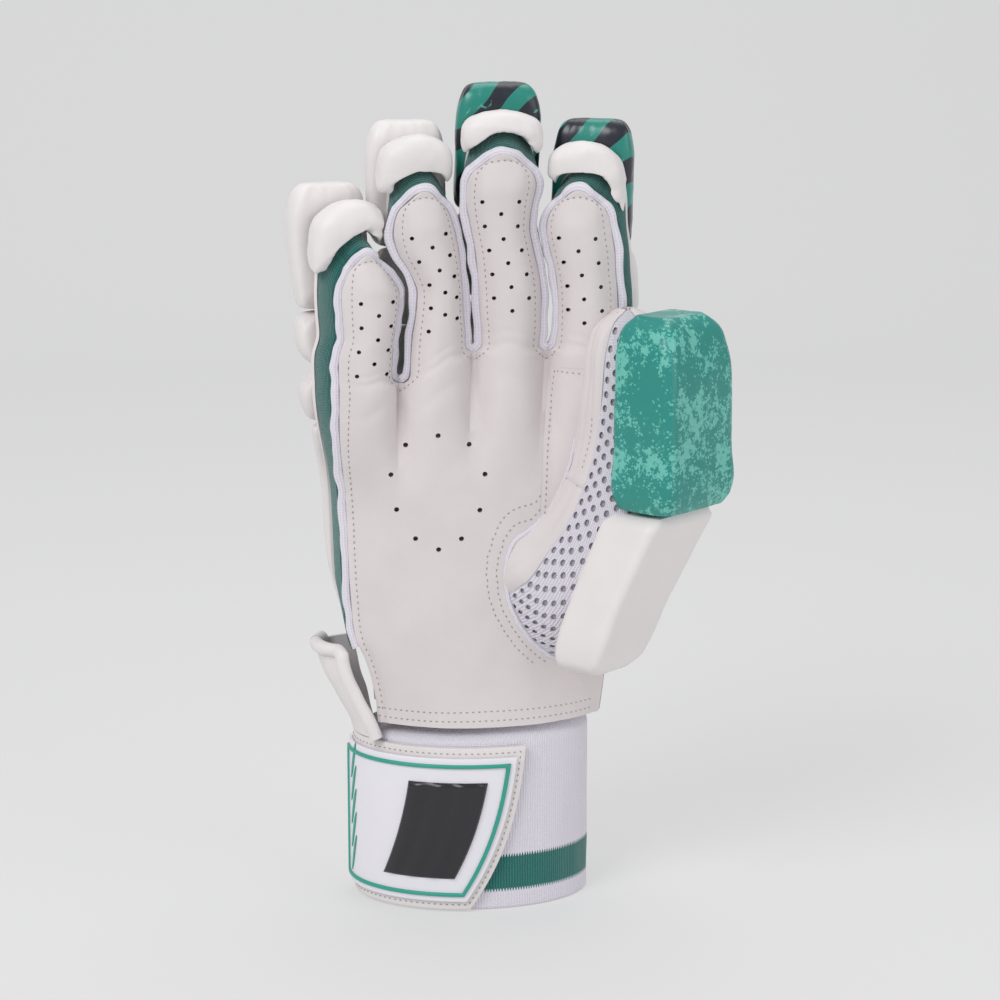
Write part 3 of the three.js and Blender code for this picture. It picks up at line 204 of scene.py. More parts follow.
THUMB_COURSE = {
    "along": [0, 0.14, 0.3, 0.46, 0.62, 0.8, 0.92, 0.97, 1],
    "x": [0, 0.1, 0.21, 0.275, 0.31, 0.325, 0.33, 0.335, 0.335],
    "y": [0, -0.1, -0.16, -0.2, -0.213, -0.217, -0.217, -0.217, -0.217],
    "z": [0, -0.01, 0.13, 0.36, 0.6, 0.87, 1.07, 1.165, 1.215],
    "pitch": [0, 18, 45, 70, 84, 90, 90, 90, 90],
    "heading": [-56, -54, -50, -46, -44, -43, -43, -43, -43],
    "across": [0.46, 0.42, 0.32, 0.235, 0.205, 0.2, 0.185, 0.135, 0.03],
    "deep": [0.31, 0.3, 0.26, 0.21, 0.175, 0.168, 0.155, 0.115, 0.03],
}
PANEL_COURSE = {
    "along": [0, 0.14, 0.3, 0.46, 0.8, 1],
    "mesh_start": [196, 182, 172, 172, 178, 180],
    "mesh_end": [262, 258, 250, 244, 240, 240],
}
BASE_GUARD_COURSE = {
    "x": [0.19, 0.195, 0.21, 0.29, 0.39, 0.46, 0.475],
    "y": [-0.37, -0.37, -0.37, -0.36, -0.345, -0.335, -0.335],
    "z": [-0.42, -0.39, -0.32, -0.1, 0.12, 0.27, 0.315],
    "thick": [0.5, 0.66, 0.78, 0.84, 0.88, 0.92, 0.8],
    "wide": [0.5, 0.68, 0.8, 0.86, 0.92, 0.96, 0.84],
}
TIP_GUARD_COURSE = {
    "x": [0.52, 0.525, 0.53, 0.53, 0.52, 0.515, 0.51],
    "y": [-0.365, -0.36, -0.355, -0.355, -0.35, -0.345, -0.345],
    "z": [0.34, 0.38, 0.62, 0.9, 1.08, 1.17, 1.22],
    "thick": [0.86, 0.98, 1, 1, 0.94, 0.8, 0.55],
    "wide": [0.88, 0.98, 1, 0.98, 0.92, 0.78, 0.54],
}
PATCH = {"x": [-0.065, 0.41, 0.41, -0.01, -0.045], "z": [0.2, 0.2, 0.945, 0.955, 0.6]}
FLAP_COURSE = {
    "round": [0, 0.25, 0.5, 0.75, 1],
    "out": [-0.25, 0.55, 0.85, 0.7, 0.2],
    "y": [12.5, 8, 0, -8, -13],
}


def clamp(value, low, high):
    return max(low, min(high, value))


def mix(a, b, share):
    return a + (b - a) * share


def smoothstep(value, low, high):
    t = clamp((value - low) / (high - low), 0, 1)
    return t * t * (3 - 2 * t)


def course(table, key, column, at):
    """The value of a table's column on a smooth curve through its rows."""
    xs = table[key]
    ys = table[column]
    last = len(xs) - 1
    place = clamp(at, xs[0], xs[last])
    k = 0
    while k < last - 1 and place > xs[k + 1]:
        k += 1
    here = (ys[k + 1] - ys[k]) / (xs[k + 1] - xs[k])
    before = (ys[k] - ys[k - 1]) / (xs[k] - xs[k - 1]) if k > 0 else here
    after = (ys[k + 2] - ys[k + 1]) / (xs[k + 2] - xs[k + 1]) if k < last - 1 else here
    run = xs[k + 1] - xs[k]
    t = (place - xs[k]) / run
    start = (before + here) / 2 if before * here > 0 else 0
    end = (after + here) / 2 if after * here > 0 else 0
    rise = ys[k] * (2 * t**3 - 3 * t**2 + 1) + ys[k + 1] * (3 * t**2 - 2 * t**3)
    return rise + start * run * (t**3 - 2 * t**2 + t) + end * run * (t**3 - t**2)


PALM_WIDTH = sum(f["width"] for f in FINGERS)
LINE_ROOTS = [PALM_LEFT + sum(f["width"] for f in FINGERS[:k]) for k in range(5)]
ROOT_RISES = [FINGERS[k]["rise"] for k in (0, 0, 2, 2, 3)]
LOW_CUFF, HIGH_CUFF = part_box("cuff")
SHIFT = np.array(
    [
        500 * (LOW_CUFF.x + HIGH_CUFF.x) - CUFF_CENTRE,
        500 * (LOW_CUFF.y + HIGH_CUFF.y),
        0.0,
    ]
)


def line_x(k, z):
    """X of the line between two fingers at height z."""
    up = (z - ROOT_HEIGHT - FINGERS[2]["rise"]) / FINGER_REACH
    sway = course(LINE_COURSE, "up", LINES[k], up) * FINGERS[2]["width"]
    palm_up = clamp((z - PALM_BOTTOM) / PALM_LENGTH, 0, 1)
    left = course(PALM_COURSE, "up", "outer_in", palm_up) * PALM_WIDTH
    right = course(PALM_COURSE, "up", "inner_in", palm_up) * PALM_WIDTH
    share = (LINE_ROOTS[k] - PALM_LEFT) / PALM_WIDTH
    return LINE_ROOTS[k] + mix(left, -right, share) + sway


def wall_line(k, z, back):
    """X of line k on the front or the back wall: the back's outer edges reach out."""
    if back and k == 0:
        return line_x(k, z) - OUTER_FLARE * smoothstep(z, FLARE_START, FLARE_FULL)
    if back and k == 4:
        return line_x(k, z) + INNER_FLARE * smoothstep(z, INNER_FLARE_START, INNER_FLARE_FULL)
    return line_x(k, z)


def arch_depth(i):
    """Depth of a finger's axis, so that neighbouring edges meet."""
    depth = 0
    for k in range(min(i, 2), max(i, 2)):
        a, b = FINGERS[k], FINGERS[k + 1]
        depth -= abs(math.sin(math.radians(a["turn"]))) * a["width"] / 2
        depth -= abs(math.sin(math.radians(b["turn"]))) * b["width"] / 2
    return 0.75 * depth


ARCH_DEPTHS = [arch_depth(i) for i in range(4)]


def tip_height(i, back):
    """Height of a stall's end: the back reaches past the palm's leather."""
    return ROOT_HEIGHT + FINGERS[i]["rise"] + FINGERS[i]["length"] + (BACK_OVERHANG if back else 0)


def on_wall(i, centre, across, z, back, edge_share, proud):
    """A place across a finger, turned into a point on its front or back wall."""
    turn = math.radians(FINGERS[i]["turn"])
    up = (z - ROOT_HEIGHT) / FINGER_REACH
    axis_y = ARCH_DEPTHS[i] - FINGER_SET_BACK - FINGER_CURL * clamp(up, 0, 1.4) ** 2
    tip = tip_height(i, back)
    closing = smoothstep(z, tip - TIP_ROUNDING, tip)
    bulge = (1 - edge_share**2.4) * (1 - 0.7 * closing)
    if back:
        deep = FINGER_BACK + FINGER_BACK_CROWN * bulge + proud
    else:
        deep = -FINGER_FRONT - TIP_TUCK * closing - FINGER_CROWN * bulge - proud
    axis_x = centre - FINGER_FRONT * math.sin(turn)
    return (
        axis_x + across * math.cos(turn) - deep * math.sin(turn),
        axis_y + across * math.sin(turn) + deep * math.cos(turn),
        z,
    )


def finger_point(i, u, h, back, inset, proud=0):
    """A point of a stall: u from side to side, h from its root to its tip."""
    tip = tip_height(i, back)
    root = ROOT_HEIGHT + mix(ROOT_RISES[i], ROOT_RISES[i + 1], (u + 1) / 2)
    flat = mix(root, tip, h)
    z = flat + (TIP_ARCH * (1 - u * u) - TIP_DROP) * smoothstep(h, 0.6, 1)
    line_z = min(flat, tip)
    opening = clamp(h * FINGERS[i]["length"] / CROTCH_RADIUS, 0, 1)
    slit = inset * (0.25 + 0.75 * math.sqrt(1 - (1 - opening) ** 2))
    left = wall_line(i, line_z, back) + (inset if i == 0 else slit)
    right = wall_line(i + 1, line_z, back) - (inset if i == 3 else slit)
    rounding = clamp((flat - (tip - TIP_ROUNDING)) / TIP_ROUNDING, 0, 1)
    half = (right - left) / 2 * course(END_ROUNDING, "up", "half", rounding)
    return on_wall(i, (left + right) / 2, u * half, z, back, abs(u), proud)


def hand_depth(x, z, back):
    """Y of the palm or of the back of the hand."""
    up = clamp((z - PALM_BOTTOM) / PALM_LENGTH, 0, 1)
    wide = (line_x(4, z) - line_x(0, z)) / 2
    middle = (line_x(4, z) + line_x(0, z)) / 2
    across = clamp((x - middle) / wide, -1, 1)
    crown = course(PALM_COURSE, "up", "crown", up)
    bulge = 1 - abs(across) ** 2.3
    if back:
        return BACK_EDGE_DEPTH + BACK_CROWN * crown * crown * bulge
    outer = course(PALM_COURSE, "up", "outer_deep", up)
    inner = course(PALM_COURSE, "up", "inner_deep", up)
    return -PALM_EDGE_DEPTH * mix(outer, inner, (across + 1) / 2) - PALM_CROWN * crown * bulge


def hand_point(i, u, h, back, inset, proud=0):
    """A point below finger i: h from the wrist to the finger's root."""
    root = ROOT_HEIGHT + mix(ROOT_RISES[i], ROOT_RISES[i + 1], (u + 1) / 2)
    z = mix(PALM_BOTTOM, root, h)
    left = wall_line(i, z, back) + (inset if i == 0 else inset * h)
    right = wall_line(i + 1, z, back) - (inset if i == 3 else inset * h)
    x = mix(left, right, (u + 1) / 2)
    y = hand_depth(x, z, back) + (proud if back else -proud)
    finger = finger_point(i, u, 0, back, inset, proud)
    blend = smoothstep(h, ROOT_BLEND, 1)
    return mix(x, finger[0], blend * blend), mix(y, finger[1], blend), z


def wall_point(i, u, h, back, inset, proud=0):
    """h runs from -1 at the wrist through 0 at the finger's root to 1 at its tip."""
    if h < 0:
        return hand_point(i, u, h + 1, back, inset, proud)
    return finger_point(i, u, h, back, inset, proud)


def thumb_point(along, angle, outside):
    """A point on the thumb stall, outside millimetres proud of it."""

    def at(column):
        return course(THUMB_COURSE, "along", column, along)

    pitch, heading = math.radians(at("pitch")), math.radians(at("heading"))
    axis = np.array(
        [
            math.cos(pitch) * math.cos(heading),
            math.cos(pitch) * math.sin(heading),
            math.sin(pitch),
        ]
    )
    side = np.array([-math.sin(heading), math.cos(heading), 0])
    up = np.cross(axis, side)
    centre = np.array([at("x"), at("y"), at("z")]) * THUMB_LENGTH + THUMB_ROOT
    turn = math.radians(angle)
    deep = at("deep") * THUMB_LENGTH + outside
    across = at("across") * THUMB_LENGTH + outside
    return centre + side * deep * math.cos(turn) + up * across * math.sin(turn)


def cuff_point(angle, z, outside):
    """A point round the cuff, which narrows where it tucks under the palm."""
    tucked = smoothstep(z, CUFF_NECK, CUFF_HEIGHT + 1)
    narrow = outside - TUCK_NARROWING * tucked
    turn = math.radians(angle)
    x = CUFF_CENTRE + TUCK_SHIFT * tucked + (CUFF_WIDTH / 2 + narrow) * math.cos(turn)
    return x, (CUFF_DEPTH / 2 + narrow) * math.sin(turn), z


def strap_end(z, margin):
    """Angle of the strap's slanted end at a height."""
    down = (STRAP_TOP - z) / STRAP_HEIGHT
    return 360 + STRAP_END - STRAP_SLANT * (0.35 * down + 0.65 * down**2.6) - margin


def front_degrees(distance):
    """Millimetres round the front of the cuff as an angle."""
    return math.degrees(distance / (CUFF_WIDTH / 2))


def flap_point(round_share, z):
    """A point of the flap, from the cuff's side up to its standing edge."""
    up = (z - FLAP_LOW) / (FLAP_HIGH - FLAP_LOW)
    low = cuff_point(FLAP_START + FLAP_TURN * round_share, FLAP_LOW, LEATHER + 2 * SEAM)
    out = course(FLAP_COURSE, "round", "out", round_share) * FLAP_OUT
    high = (line_x(0, FLAP_HIGH) - FLAP_CLEAR - out, course(FLAP_COURSE, "round", "y", round_share))
    share = smoothstep(up, -0.2, 1)
    return mix(low[0], high[0], share), mix(low[1], high[1], share), z


def in_frame(points):
    """Millimetres of the source into metres of the frame."""
    return (np.asarray(points, float) + SHIFT) / 1000


# Selecting, making and finishing meshes.


def alone(obj):
    """Leaves one object selected and active."""
    if bpy.context.object and bpy.context.object.mode != "OBJECT":
        bpy.ops.object.mode_set(mode="OBJECT")
    bpy.ops.object.select_all(action="DESELECT")
    obj.select_set(True)
    bpy.context.view_layer.objects.active = obj
    return obj


def sheet(name, columns, rows, place, weave=(1, 1)):
    """A grid whose vertices are put where place(u, v) says, with u and v from 0 to 1."""
    bpy.ops.object.select_all(action="DESELECT")
    bpy.ops.mesh.primitive_grid_add(
        x_subdivisions=columns, y_subdivisions=rows, size=1, calc_uvs=True
    )
    obj = bpy.context.object
    obj.name = name
    mesh = obj.data
    mesh.name = name
    flat = np.zeros(len(mesh.vertices) * 3)
    mesh.vertices.foreach_get("co", flat)
    shares = flat.reshape(-1, 3)[:, :2] + 0.5
    cells = np.rint(shares * (columns, rows)).astype(int)
    points = [place(c / columns, r / rows) for c, r in cells]
    mesh.vertices.foreach_set("co", in_frame(points).ravel())
    layer = mesh.uv_layers.active
    uv = np.zeros(len(layer.data) * 2)
    layer.data.foreach_get("uv", uv)
    layer.data.foreach_set("uv", (uv.reshape(-1, 2) * weave).ravel())
    mesh.update()
    return obj


def strip(name, rings, closed=False, weave=(1, 1)):
    """A sheet through rows of points, joined round if the rows are closed."""
    columns = len(rings[0]) - (0 if closed else 1)
    rows = len(rings) - 1

    def place(u, v):
        return rings[round(v * rows)][round(u * columns) % len(rings[0])]

    obj = sheet(name, columns, rows, place, weave)
    return merged(obj) if closed else obj


def edit(obj):
    """Opens an object in edit mode with all of it selected."""
    alone(obj)
    bpy.ops.object.mode_set(mode="EDIT")
    bpy.ops.mesh.select_all(action="SELECT")


def merged(obj, distance=2e-6):
    edit(obj)
    bpy.ops.mesh.remove_doubles(threshold=distance)
    bpy.ops.object.mode_set(mode="OBJECT")
    return obj


def facing_out(obj):
    """Turns every face outwards."""
    edit(obj)
    bpy.ops.mesh.normals_make_consistent(inside=False)
    bpy.ops.object.mode_set(mode="OBJECT")
    return obj


def turned_out(obj):
    """Closes what is open and turns every face outwards."""
    edit(obj)
    bpy.ops.mesh.fill_holes(sides=0)
    bpy.ops.object.mode_set(mode="OBJECT")
    return facing_out(obj)


def flipped(obj):
    edit(obj)
    bpy.ops.mesh.flip_normals()
    bpy.ops.object.mode_set(mode="OBJECT")
    return obj


def joined(objects, name):
    alone(objects[0])
    for obj in objects[1:]:
        obj.select_set(True)
    bpy.ops.object.join()
    obj = bpy.context.object
    obj.name = name
    obj.data.name = name
    return obj


def modified(obj, kind, **settings):
    """Adds a modifier, sets it and applies it."""
    alone(obj)
    modifier = obj.modifiers.new(kind.lower(), kind)
    for key, value in settings.items():
        setattr(modifier, key, value)
    bpy.ops.object.modifier_apply(modifier=modifier.name)
    return obj


def thickened(obj, thickness):
    """A wall inwards from the sheet's outer face."""
    return modified(obj, "SOLIDIFY", thickness=thickness / 1000, offset=-1, use_even_offset=True)


def subdivided(obj, levels):
    return modified(obj, "SUBSURF", levels=levels, render_levels=levels)


def cut(obj, cutter, operation="DIFFERENCE"):
    return modified(obj, "BOOLEAN", operation=operation, solver="EXACT", object=cutter)


def discard(obj):
    bpy.data.objects.remove(obj, do_unlink=True)


def largest_part(obj):
    """Deletes loose scraps beside the main body."""
    mesh = obj.data
    parent = list(range(len(mesh.vertices)))

    def top(k):
        while parent[k] != k:
            parent[k] = parent[parent[k]]
            k = parent[k]
        return k

    for a, b in mesh.edge_keys:
        parent[top(a)] = top(b)
    tops = np.array([top(k) for k in range(len(parent))])
    kinds, counts = np.unique(tops, return_counts=True)
    keep = kinds[counts.argmax()]
    edit(obj)
    bpy.ops.mesh.select_mode(type="VERT")
    bpy.ops.mesh.select_all(action="DESELECT")
    bpy.ops.object.mode_set(mode="OBJECT")
    mesh.vertices.foreach_set("select", tops != keep)
    bpy.ops.object.mode_set(mode="EDIT")
    bpy.ops.mesh.delete(type="VERT")
    bpy.ops.object.mode_set(mode="OBJECT")
    return obj


def smooth(obj, angle=50):
    alone(obj)
    bpy.ops.object.shade_smooth_by_angle(angle=math.radians(angle), keep_sharp_edges=False)
    return obj


def co_of(obj):
    flat = np.zeros(len(obj.data.vertices) * 3)
    obj.data.vertices.foreach_get("co", flat)
    return flat.reshape(-1, 3)


def normals_of(obj):
    flat = np.zeros(len(obj.data.vertices) * 3)
    obj.data.vertices.foreach_get("normal", flat)
    return flat.reshape(-1, 3)


def moved(obj, points):
    obj.data.vertices.foreach_set("co", np.asarray(points, float).ravel())
    obj.data.update()
    return obj


def solid_copy(node, name):
    """A copy of a solid of the frame, merged, with its flat pairs made quads."""
    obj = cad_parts[node].copy()
    obj.data = obj.data.copy()
    obj.parent = None
    for key in list(obj.keys()):
        del obj[key]
    obj.name = name
    obj.data.name = name
    obj.data.materials.clear()
    bpy.context.scene.collection.objects.link(obj)
    merged(obj, 1e-6)
    edit(obj)
    bpy.ops.mesh.tris_convert_to_quads()
    bpy.ops.object.mode_set(mode="OBJECT")
    return obj


def rippled(obj, height, size, seed=0, mask=None):
    """Moves each vertex along its normal by smooth noise: height in mm, size in mm."""
    co, normals = co_of(obj), normals_of(obj)
    offset = Vector((seed * 3.7, seed * 1.9, seed * 5.3))
    lift = [height * noise.noise(Vector(p) * (1000 / size) + offset) for p in co]
    lift = np.array(lift)
    if mask is not None:
        lift = lift * mask(co * 1000 - SHIFT)
    return moved(obj, co + normals * lift[:, None] / 1000)


def finish_piece(obj, surface, nodes=(), slot=None):
    """Gives a piece its material and body, and hides the solids that it stands for; the slot is not
    used.
    """
    obj.data.materials.clear()
    obj.data.materials.append(surface)
    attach(obj, "root")
    if nodes:
        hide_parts(*nodes)
    return obj


# Stitches: one low mesh that is repeated along a path.


def resampled(path, pitch):
    path = np.asarray(path, float)
    runs = np.linalg.norm(np.diff(path, axis=0), axis=1)
    reach = np.concatenate([[0], np.cumsum(runs)])
    count = max(int(reach[-1] / pitch), 1)
    at = (np.arange(count) + 0.5) * pitch
    return np.stack([np.interp(at, reach, path[:, k]) for k in range(3)], axis=1)


def skin_tree(skin):
    faces = [tuple(f.vertices) for f in skin.data.polygons]
    return BVHTree.FromPolygons([tuple(p) for p in co_of(skin)], faces)


def tube_faces(first, steps, sides):
    """Faces of a closed tube whose rings follow one another from a first point."""
    faces = []
    for s in range(steps - 1):
        for q in range(sides):
            a = first + s * sides + q
            b = first + s * sides + (q + 1) % sides
            faces.append((a, b, b + sides, a + sides))
    faces.append(tuple(first + q for q in reversed(range(sides))))
    faces.append(tuple(first + (steps - 1) * sides + q for q in range(sides)))
    return faces


def from_points(name, points, faces):
    """An object from points in the frame and faces, turned outwards."""
    mesh = bpy.data.meshes.new(name)
    mesh.from_pydata([tuple(p) for p in points], [], faces)
    obj = bpy.data.objects.new(name, mesh)
    bpy.context.scene.collection.objects.link(obj)
    facing_out(obj)
    bpy.ops.object.shade_smooth()
    return obj


def stitches(name, paths, skin, finish="thread", length=1.15, radius=0.21, sink=0.09):
    """Runs of thread on a skin, along paths in mm, each stitch dipping at its ends."""
    tree = skin_tree(skin)
    sides, steps = 6, 5
    points, faces = [], []
    for path in paths:
        spots = resampled(path, bpy.context.scene.glove_sizes.stitch_pitch)
        for k, spot in enumerate(spots):
            ahead = spots[min(k + 1, len(spots) - 1)] - spots[max(k - 1, 0)]
            where, normal, _, away = tree.find_nearest(Vector(in_frame(spot)))
            if where is None or away > 0.004 or np.linalg.norm(ahead) == 0:
                continue
            normal = np.array(normal)
            along = ahead - normal * (ahead @ normal)
            along = along / max(np.linalg.norm(along), 1e-9)
            side = np.cross(normal, along)
            first = len(points)
            for s in range(steps):
                share = 2 * s / (steps - 1) - 1
                lift = radius * (0.9 - 1.5 * share * share) - sink
                thick = radius * math.sqrt(max(1 - 0.7 * share * share, 0))
                middle = np.array(where) * 1000 + along * share * length / 2 + normal * lift
                for q in range(sides):
                    turn = 2 * math.pi * q / sides
                    ring = side * math.cos(turn) + normal * math.sin(turn)
                    points.append((middle + ring * thick) / 1000)
            faces += tube_faces(first, steps, sides)
    return finish_piece(from_points(name, points, faces), surface(finish))


# Materials.


def new_material(name, colour, roughness, **sockets):
    """A material with its shader, and a short way to add and join nodes."""
    material = bpy.data.materials.new(name)
    material.use_nodes = True
    tree = material.node_tree
    shader = next(n for n in tree.nodes if n.type == "BSDF_PRINCIPLED")
    shader.inputs["Base Color"].default_value = (*colour, 1)
    shader.inputs["Roughness"].default_value = roughness
    for key, value in sockets.items():
        shader.inputs[key.replace("_", " ").title()].default_value = value
    material.diffuse_color = (*colour, 1)
    return material, tree, shader


def wire(tree, kind, settings=(), **inputs):
    """Adds a node: a value sets an input, a socket is linked to it."""
    made = tree.nodes.new("ShaderNode" + kind)
    for key, value in dict(settings).items():
        setattr(made, key, value)
    for key, value in inputs.items():
        socket = made.inputs[int(key[1:]) if key[0] == "i" and key[1:].isdigit() else key]
        if isinstance(value, bpy.types.NodeSocket):
            tree.links.new(value, socket)
        else:
            socket.default_value = value
    return made


def maths(tree, operation, a, b=0.0, c=0.0):
    return wire(tree, "Math", {"operation": operation}, i0=a, i1=b, i2=c).outputs[0]


def blended(tree, factor, a, b):
    made = wire(tree, "Mix", {"data_type": "RGBA"}, i0=factor)
    for socket, value in ((made.inputs[6], a), (made.inputs[7], b)):
        if isinstance(value, bpy.types.NodeSocket):
            tree.links.new(value, socket)
        else:
            socket.default_value = (*value, 1)
    return made.outputs[2]


def ranged(tree, value, low, high, out_low=0.0, out_high=1.0, kind="SMOOTHSTEP"):
    made = wire(
        tree,
        "MapRange",
        {"interpolation_type": kind},
        i0=value,
        i1=low,
        i2=high,
        i3=out_low,
        i4=out_high,
    )
    return made.outputs[0]


def object_coordinates(tree):
    return wire(tree, "TexCoord").outputs["Object"]


def noise_of(tree, where, scale, detail=3.0, roughness=0.5, distortion=0.0):
    made = wire(
        tree,
        "TexNoise",
        Vector=where,
        Scale=scale,
        Detail=detail,
        Roughness=roughness,
        Distortion=distortion,
    )
    return made.outputs["Fac"]


def bumped(tree, shader, height, strength, distance):
    made = wire(tree, "Bump", Height=height, Strength=strength, Distance=distance)
    tree.links.new(made.outputs[0], shader.inputs["Normal"])


def leather_grain(tree, shader, where, pores=1000.0, strength=0.2, distance=0.00025):
    """Pebbled pores, fine creases and a matt drift over the hide."""
    cells = wire(tree, "TexVoronoi", {"feature": "SMOOTH_F1"}, Vector=where, Scale=pores)
    pebble = ranged(tree, cells.outputs["Distance"], 0.15, 0.75)
    fine = noise_of(tree, where, 420.0, 6.0, 0.62, 0.4)
    broad = noise_of(tree, where, 70.0, 3.0, 0.5, 0.9)
    height = maths(tree, "MULTIPLY_ADD", pebble, -0.35, maths(tree, "MULTIPLY", fine, 0.9))
    height = maths(tree, "MULTIPLY_ADD", broad, 2.2, height)
    bumped(tree, shader, height, strength, distance)
    return fine, broad


def leather(name, light, shade, roughness, pores=1000.0, strength=0.2, distance=0.00025):
    material, tree, shader = new_material(name, light, roughness)
    where = object_coordinates(tree)
    fine, broad = leather_grain(tree, shader, where, pores, strength, distance)
    drift = ranged(tree, noise_of(tree, where, 22.0, 4.0, 0.6), 0.35, 0.75)
    colour = blended(tree, maths(tree, "MULTIPLY", drift, 0.55), light, shade)
    colour = blended(tree, ranged(tree, fine, 0.6, 0.85, 0.0, 0.25), colour, shade)
    tree.links.new(colour, shader.inputs["Base Color"])
    rough = ranged(tree, broad, 0.3, 0.7, roughness - 0.06, roughness + 0.08, "LINEAR")
    tree.links.new(rough, shader.inputs["Roughness"])
    return material


def knit(name, light, shade, rib, course_pitch, strength=0.8, stripe=None, stripe_shade=None):
    """Ribs up a knit, with its loops, on the piece's own UV in mm, with painted shade in the
    grooves between them.
    """
    material, tree, shader = new_material(name, light, 0.95, sheen_weight=0.35)
    uv = wire(tree, "TexCoord").outputs["UV"]
    axes = wire(tree, "SeparateXYZ", Vector=uv)
    across, along = axes.outputs[0], axes.outputs[1]
    wobble = noise_of(tree, uv, 0.35, 2.0)
    across = maths(tree, "MULTIPLY_ADD", wobble, 0.5, across)
    turn = maths(tree, "MULTIPLY", across, 2 * math.pi / rib)
    ribs = maths(tree, "MULTIPLY_ADD", maths(tree, "COSINE", turn), 0.5, 0.5)
    wave = maths(tree, "SINE", maths(tree, "MULTIPLY", turn, 0.5))
    slant = maths(tree, "MULTIPLY", maths(tree, "ABSOLUTE", wave), 1.2)
    loops = maths(tree, "MULTIPLY_ADD", along, 2 * math.pi / course_pitch, slant)
    loops = maths(tree, "MULTIPLY_ADD", maths(tree, "COSINE", loops), 0.5, 0.5)
    fuzz = noise_of(tree, uv, 3.5, 4.0, 0.7)
    height = maths(tree, "MULTIPLY_ADD", loops, 0.45, maths(tree, "MULTIPLY", ribs, 0.9))
    height = maths(tree, "MULTIPLY_ADD", fuzz, 0.5, height)
    bumped(tree, shader, height, strength, 0.00045)
    # Painted shade: the colour darkens where the ribs and loops sink, in the grooves between them.
    dark = ranged(tree, height, 0.15, 1.5)
    colour = blended(tree, dark, shade, light)
    if stripe:
        place = wire(tree, "SeparateXYZ", Vector=object_coordinates(tree)).outputs[2]
        tooth = maths(tree, "MULTIPLY", ribs, 0.0012)
        level = maths(tree, "ADD", place, tooth)
        above = ranged(tree, level, 0.0073, 0.0078)
        below = ranged(tree, level, 0.0200, 0.0205, 1, 0)
        inside = maths(tree, "MULTIPLY", above, below)
        # The stripe takes the same painted shade in its grooves.
        colour = blended(tree, inside, colour, blended(tree, dark, stripe_shade, stripe))
    tree.links.new(colour, shader.inputs["Base Color"])
    return material


def rubber(name, colour, shade, roughness):
    material, tree, shader = new_material(name, colour, roughness)
    where = object_coordinates(tree)
    drift = maths(tree, "MULTIPLY", noise_of(tree, where, 60.0, 3.0), 0.5)
    tree.links.new(blended(tree, drift, colour, shade), shader.inputs["Base Color"])
    bumped(tree, shader, noise_of(tree, where, 1600.0, 2.0), 0.1, 0.0001)
    return material


def banded_print(name, green, dark, pale):
    """Loose slanted bands in two colours with a few pale flecks, under a satin coat."""
    material, tree, shader = new_material(name, green, 0.33, coat_weight=0.25, coat_roughness=0.3)
    where = object_coordinates(tree)
    turned = wire(tree, "Mapping", Vector=where, Rotation=(0.3, 0.75, 0.2)).outputs[0]
    bands = wire(
        tree,
        "TexWave",
        {"wave_type": "BANDS", "bands_direction": "Z"},
        Vector=turned,
        Scale=26.0,
        Distortion=3.4,
        Detail=1.5,
        i4=1.2,
    ).outputs["Fac"]
    flecks = noise_of(tree, turned, 240.0, 2.0, 0.5, 1.5)
    patches = noise_of(tree, turned, 45.0, 2.0)
    mask = ranged(tree, maths(tree, "MULTIPLY_ADD", patches, 0.7, bands), 0.83, 0.87)
    colour = blended(tree, mask, green, dark)
    fleck = maths(tree, "MULTIPLY", ranged(tree, flecks, 0.68, 0.7), 0.6)
    colour = blended(tree, fleck, colour, pale)
    tree.links.new(colour, shader.inputs["Base Color"])
    leather_grain(tree, shader, where, 1400.0, 0.1, 0.0002)
    return material


def speckled_print(name, green, mint):
    """A worn speckle of small marks in drifting patches, over green."""
    material, tree, shader = new_material(name, green, 0.36, coat_weight=0.2, coat_roughness=0.35)
    where = object_coordinates(tree)
    drift = noise_of(tree, where, 75.0, 5.0, 0.72)
    breakup = noise_of(tree, where, 420.0, 3.0, 0.7)
    grains = wire(tree, "TexVoronoi", {"feature": "F1"}, Vector=where, Scale=900.0)
    dots = ranged(tree, grains.outputs["Distance"], 0.34, 0.42, 1, 0)
    patch = ranged(tree, maths(tree, "MULTIPLY_ADD", breakup, 0.55, drift), 0.80, 0.86)
    halo = ranged(tree, maths(tree, "MULTIPLY_ADD", breakup, 0.55, drift), 0.72, 0.78)
    mask = maths(tree, "MAXIMUM", patch, maths(tree, "MULTIPLY", halo, dots))
    colour = blended(tree, maths(tree, "MULTIPLY", mask, 0.85), green, mint)
    tree.links.new(colour, shader.inputs["Base Color"])
    leather_grain(tree, shader, where, 1300.0, 0.1, 0.0002)
    return material


class GLOVE_PG_colours(bpy.types.PropertyGroup):
    palm: FloatVectorProperty(
        name="Palm leather",
        description="Colour of the sheepskin on the palm and the fronts of the fingers",
        subtype="COLOR",
        size=3,
        min=0,
        max=1,
        default=(0.70, 0.645, 0.64),
    )
    padding: FloatVectorProperty(
        name="Padding leather",
        description="Colour of the coated leather over the foam",
        subtype="COLOR",
        size=3,
        min=0,
        max=1,
        default=(0.79, 0.745, 0.735),
    )
    knit_green: FloatVectorProperty(
        name="Green knit",
        description="Colour of the knit side walls and the cuff's stripe",
        subtype="COLOR",
        size=3,
        min=0,
        max=1,
        default=(0.018, 0.20, 0.175),
    )
    knit_white: FloatVectorProperty(
        name="White knit",
        description="Colour of the cuff and the edging",
        subtype="COLOR",
        size=3,
        min=0,
        max=1,
        default=(0.80, 0.765, 0.84),
    )
    print_green: FloatVectorProperty(
        name="Printed green",
        description="Ground colour of the printed rolls and the thumb guard",
        subtype="COLOR",
        size=3,
        min=0,
        max=1,
        default=(0.012, 0.23, 0.18),
    )


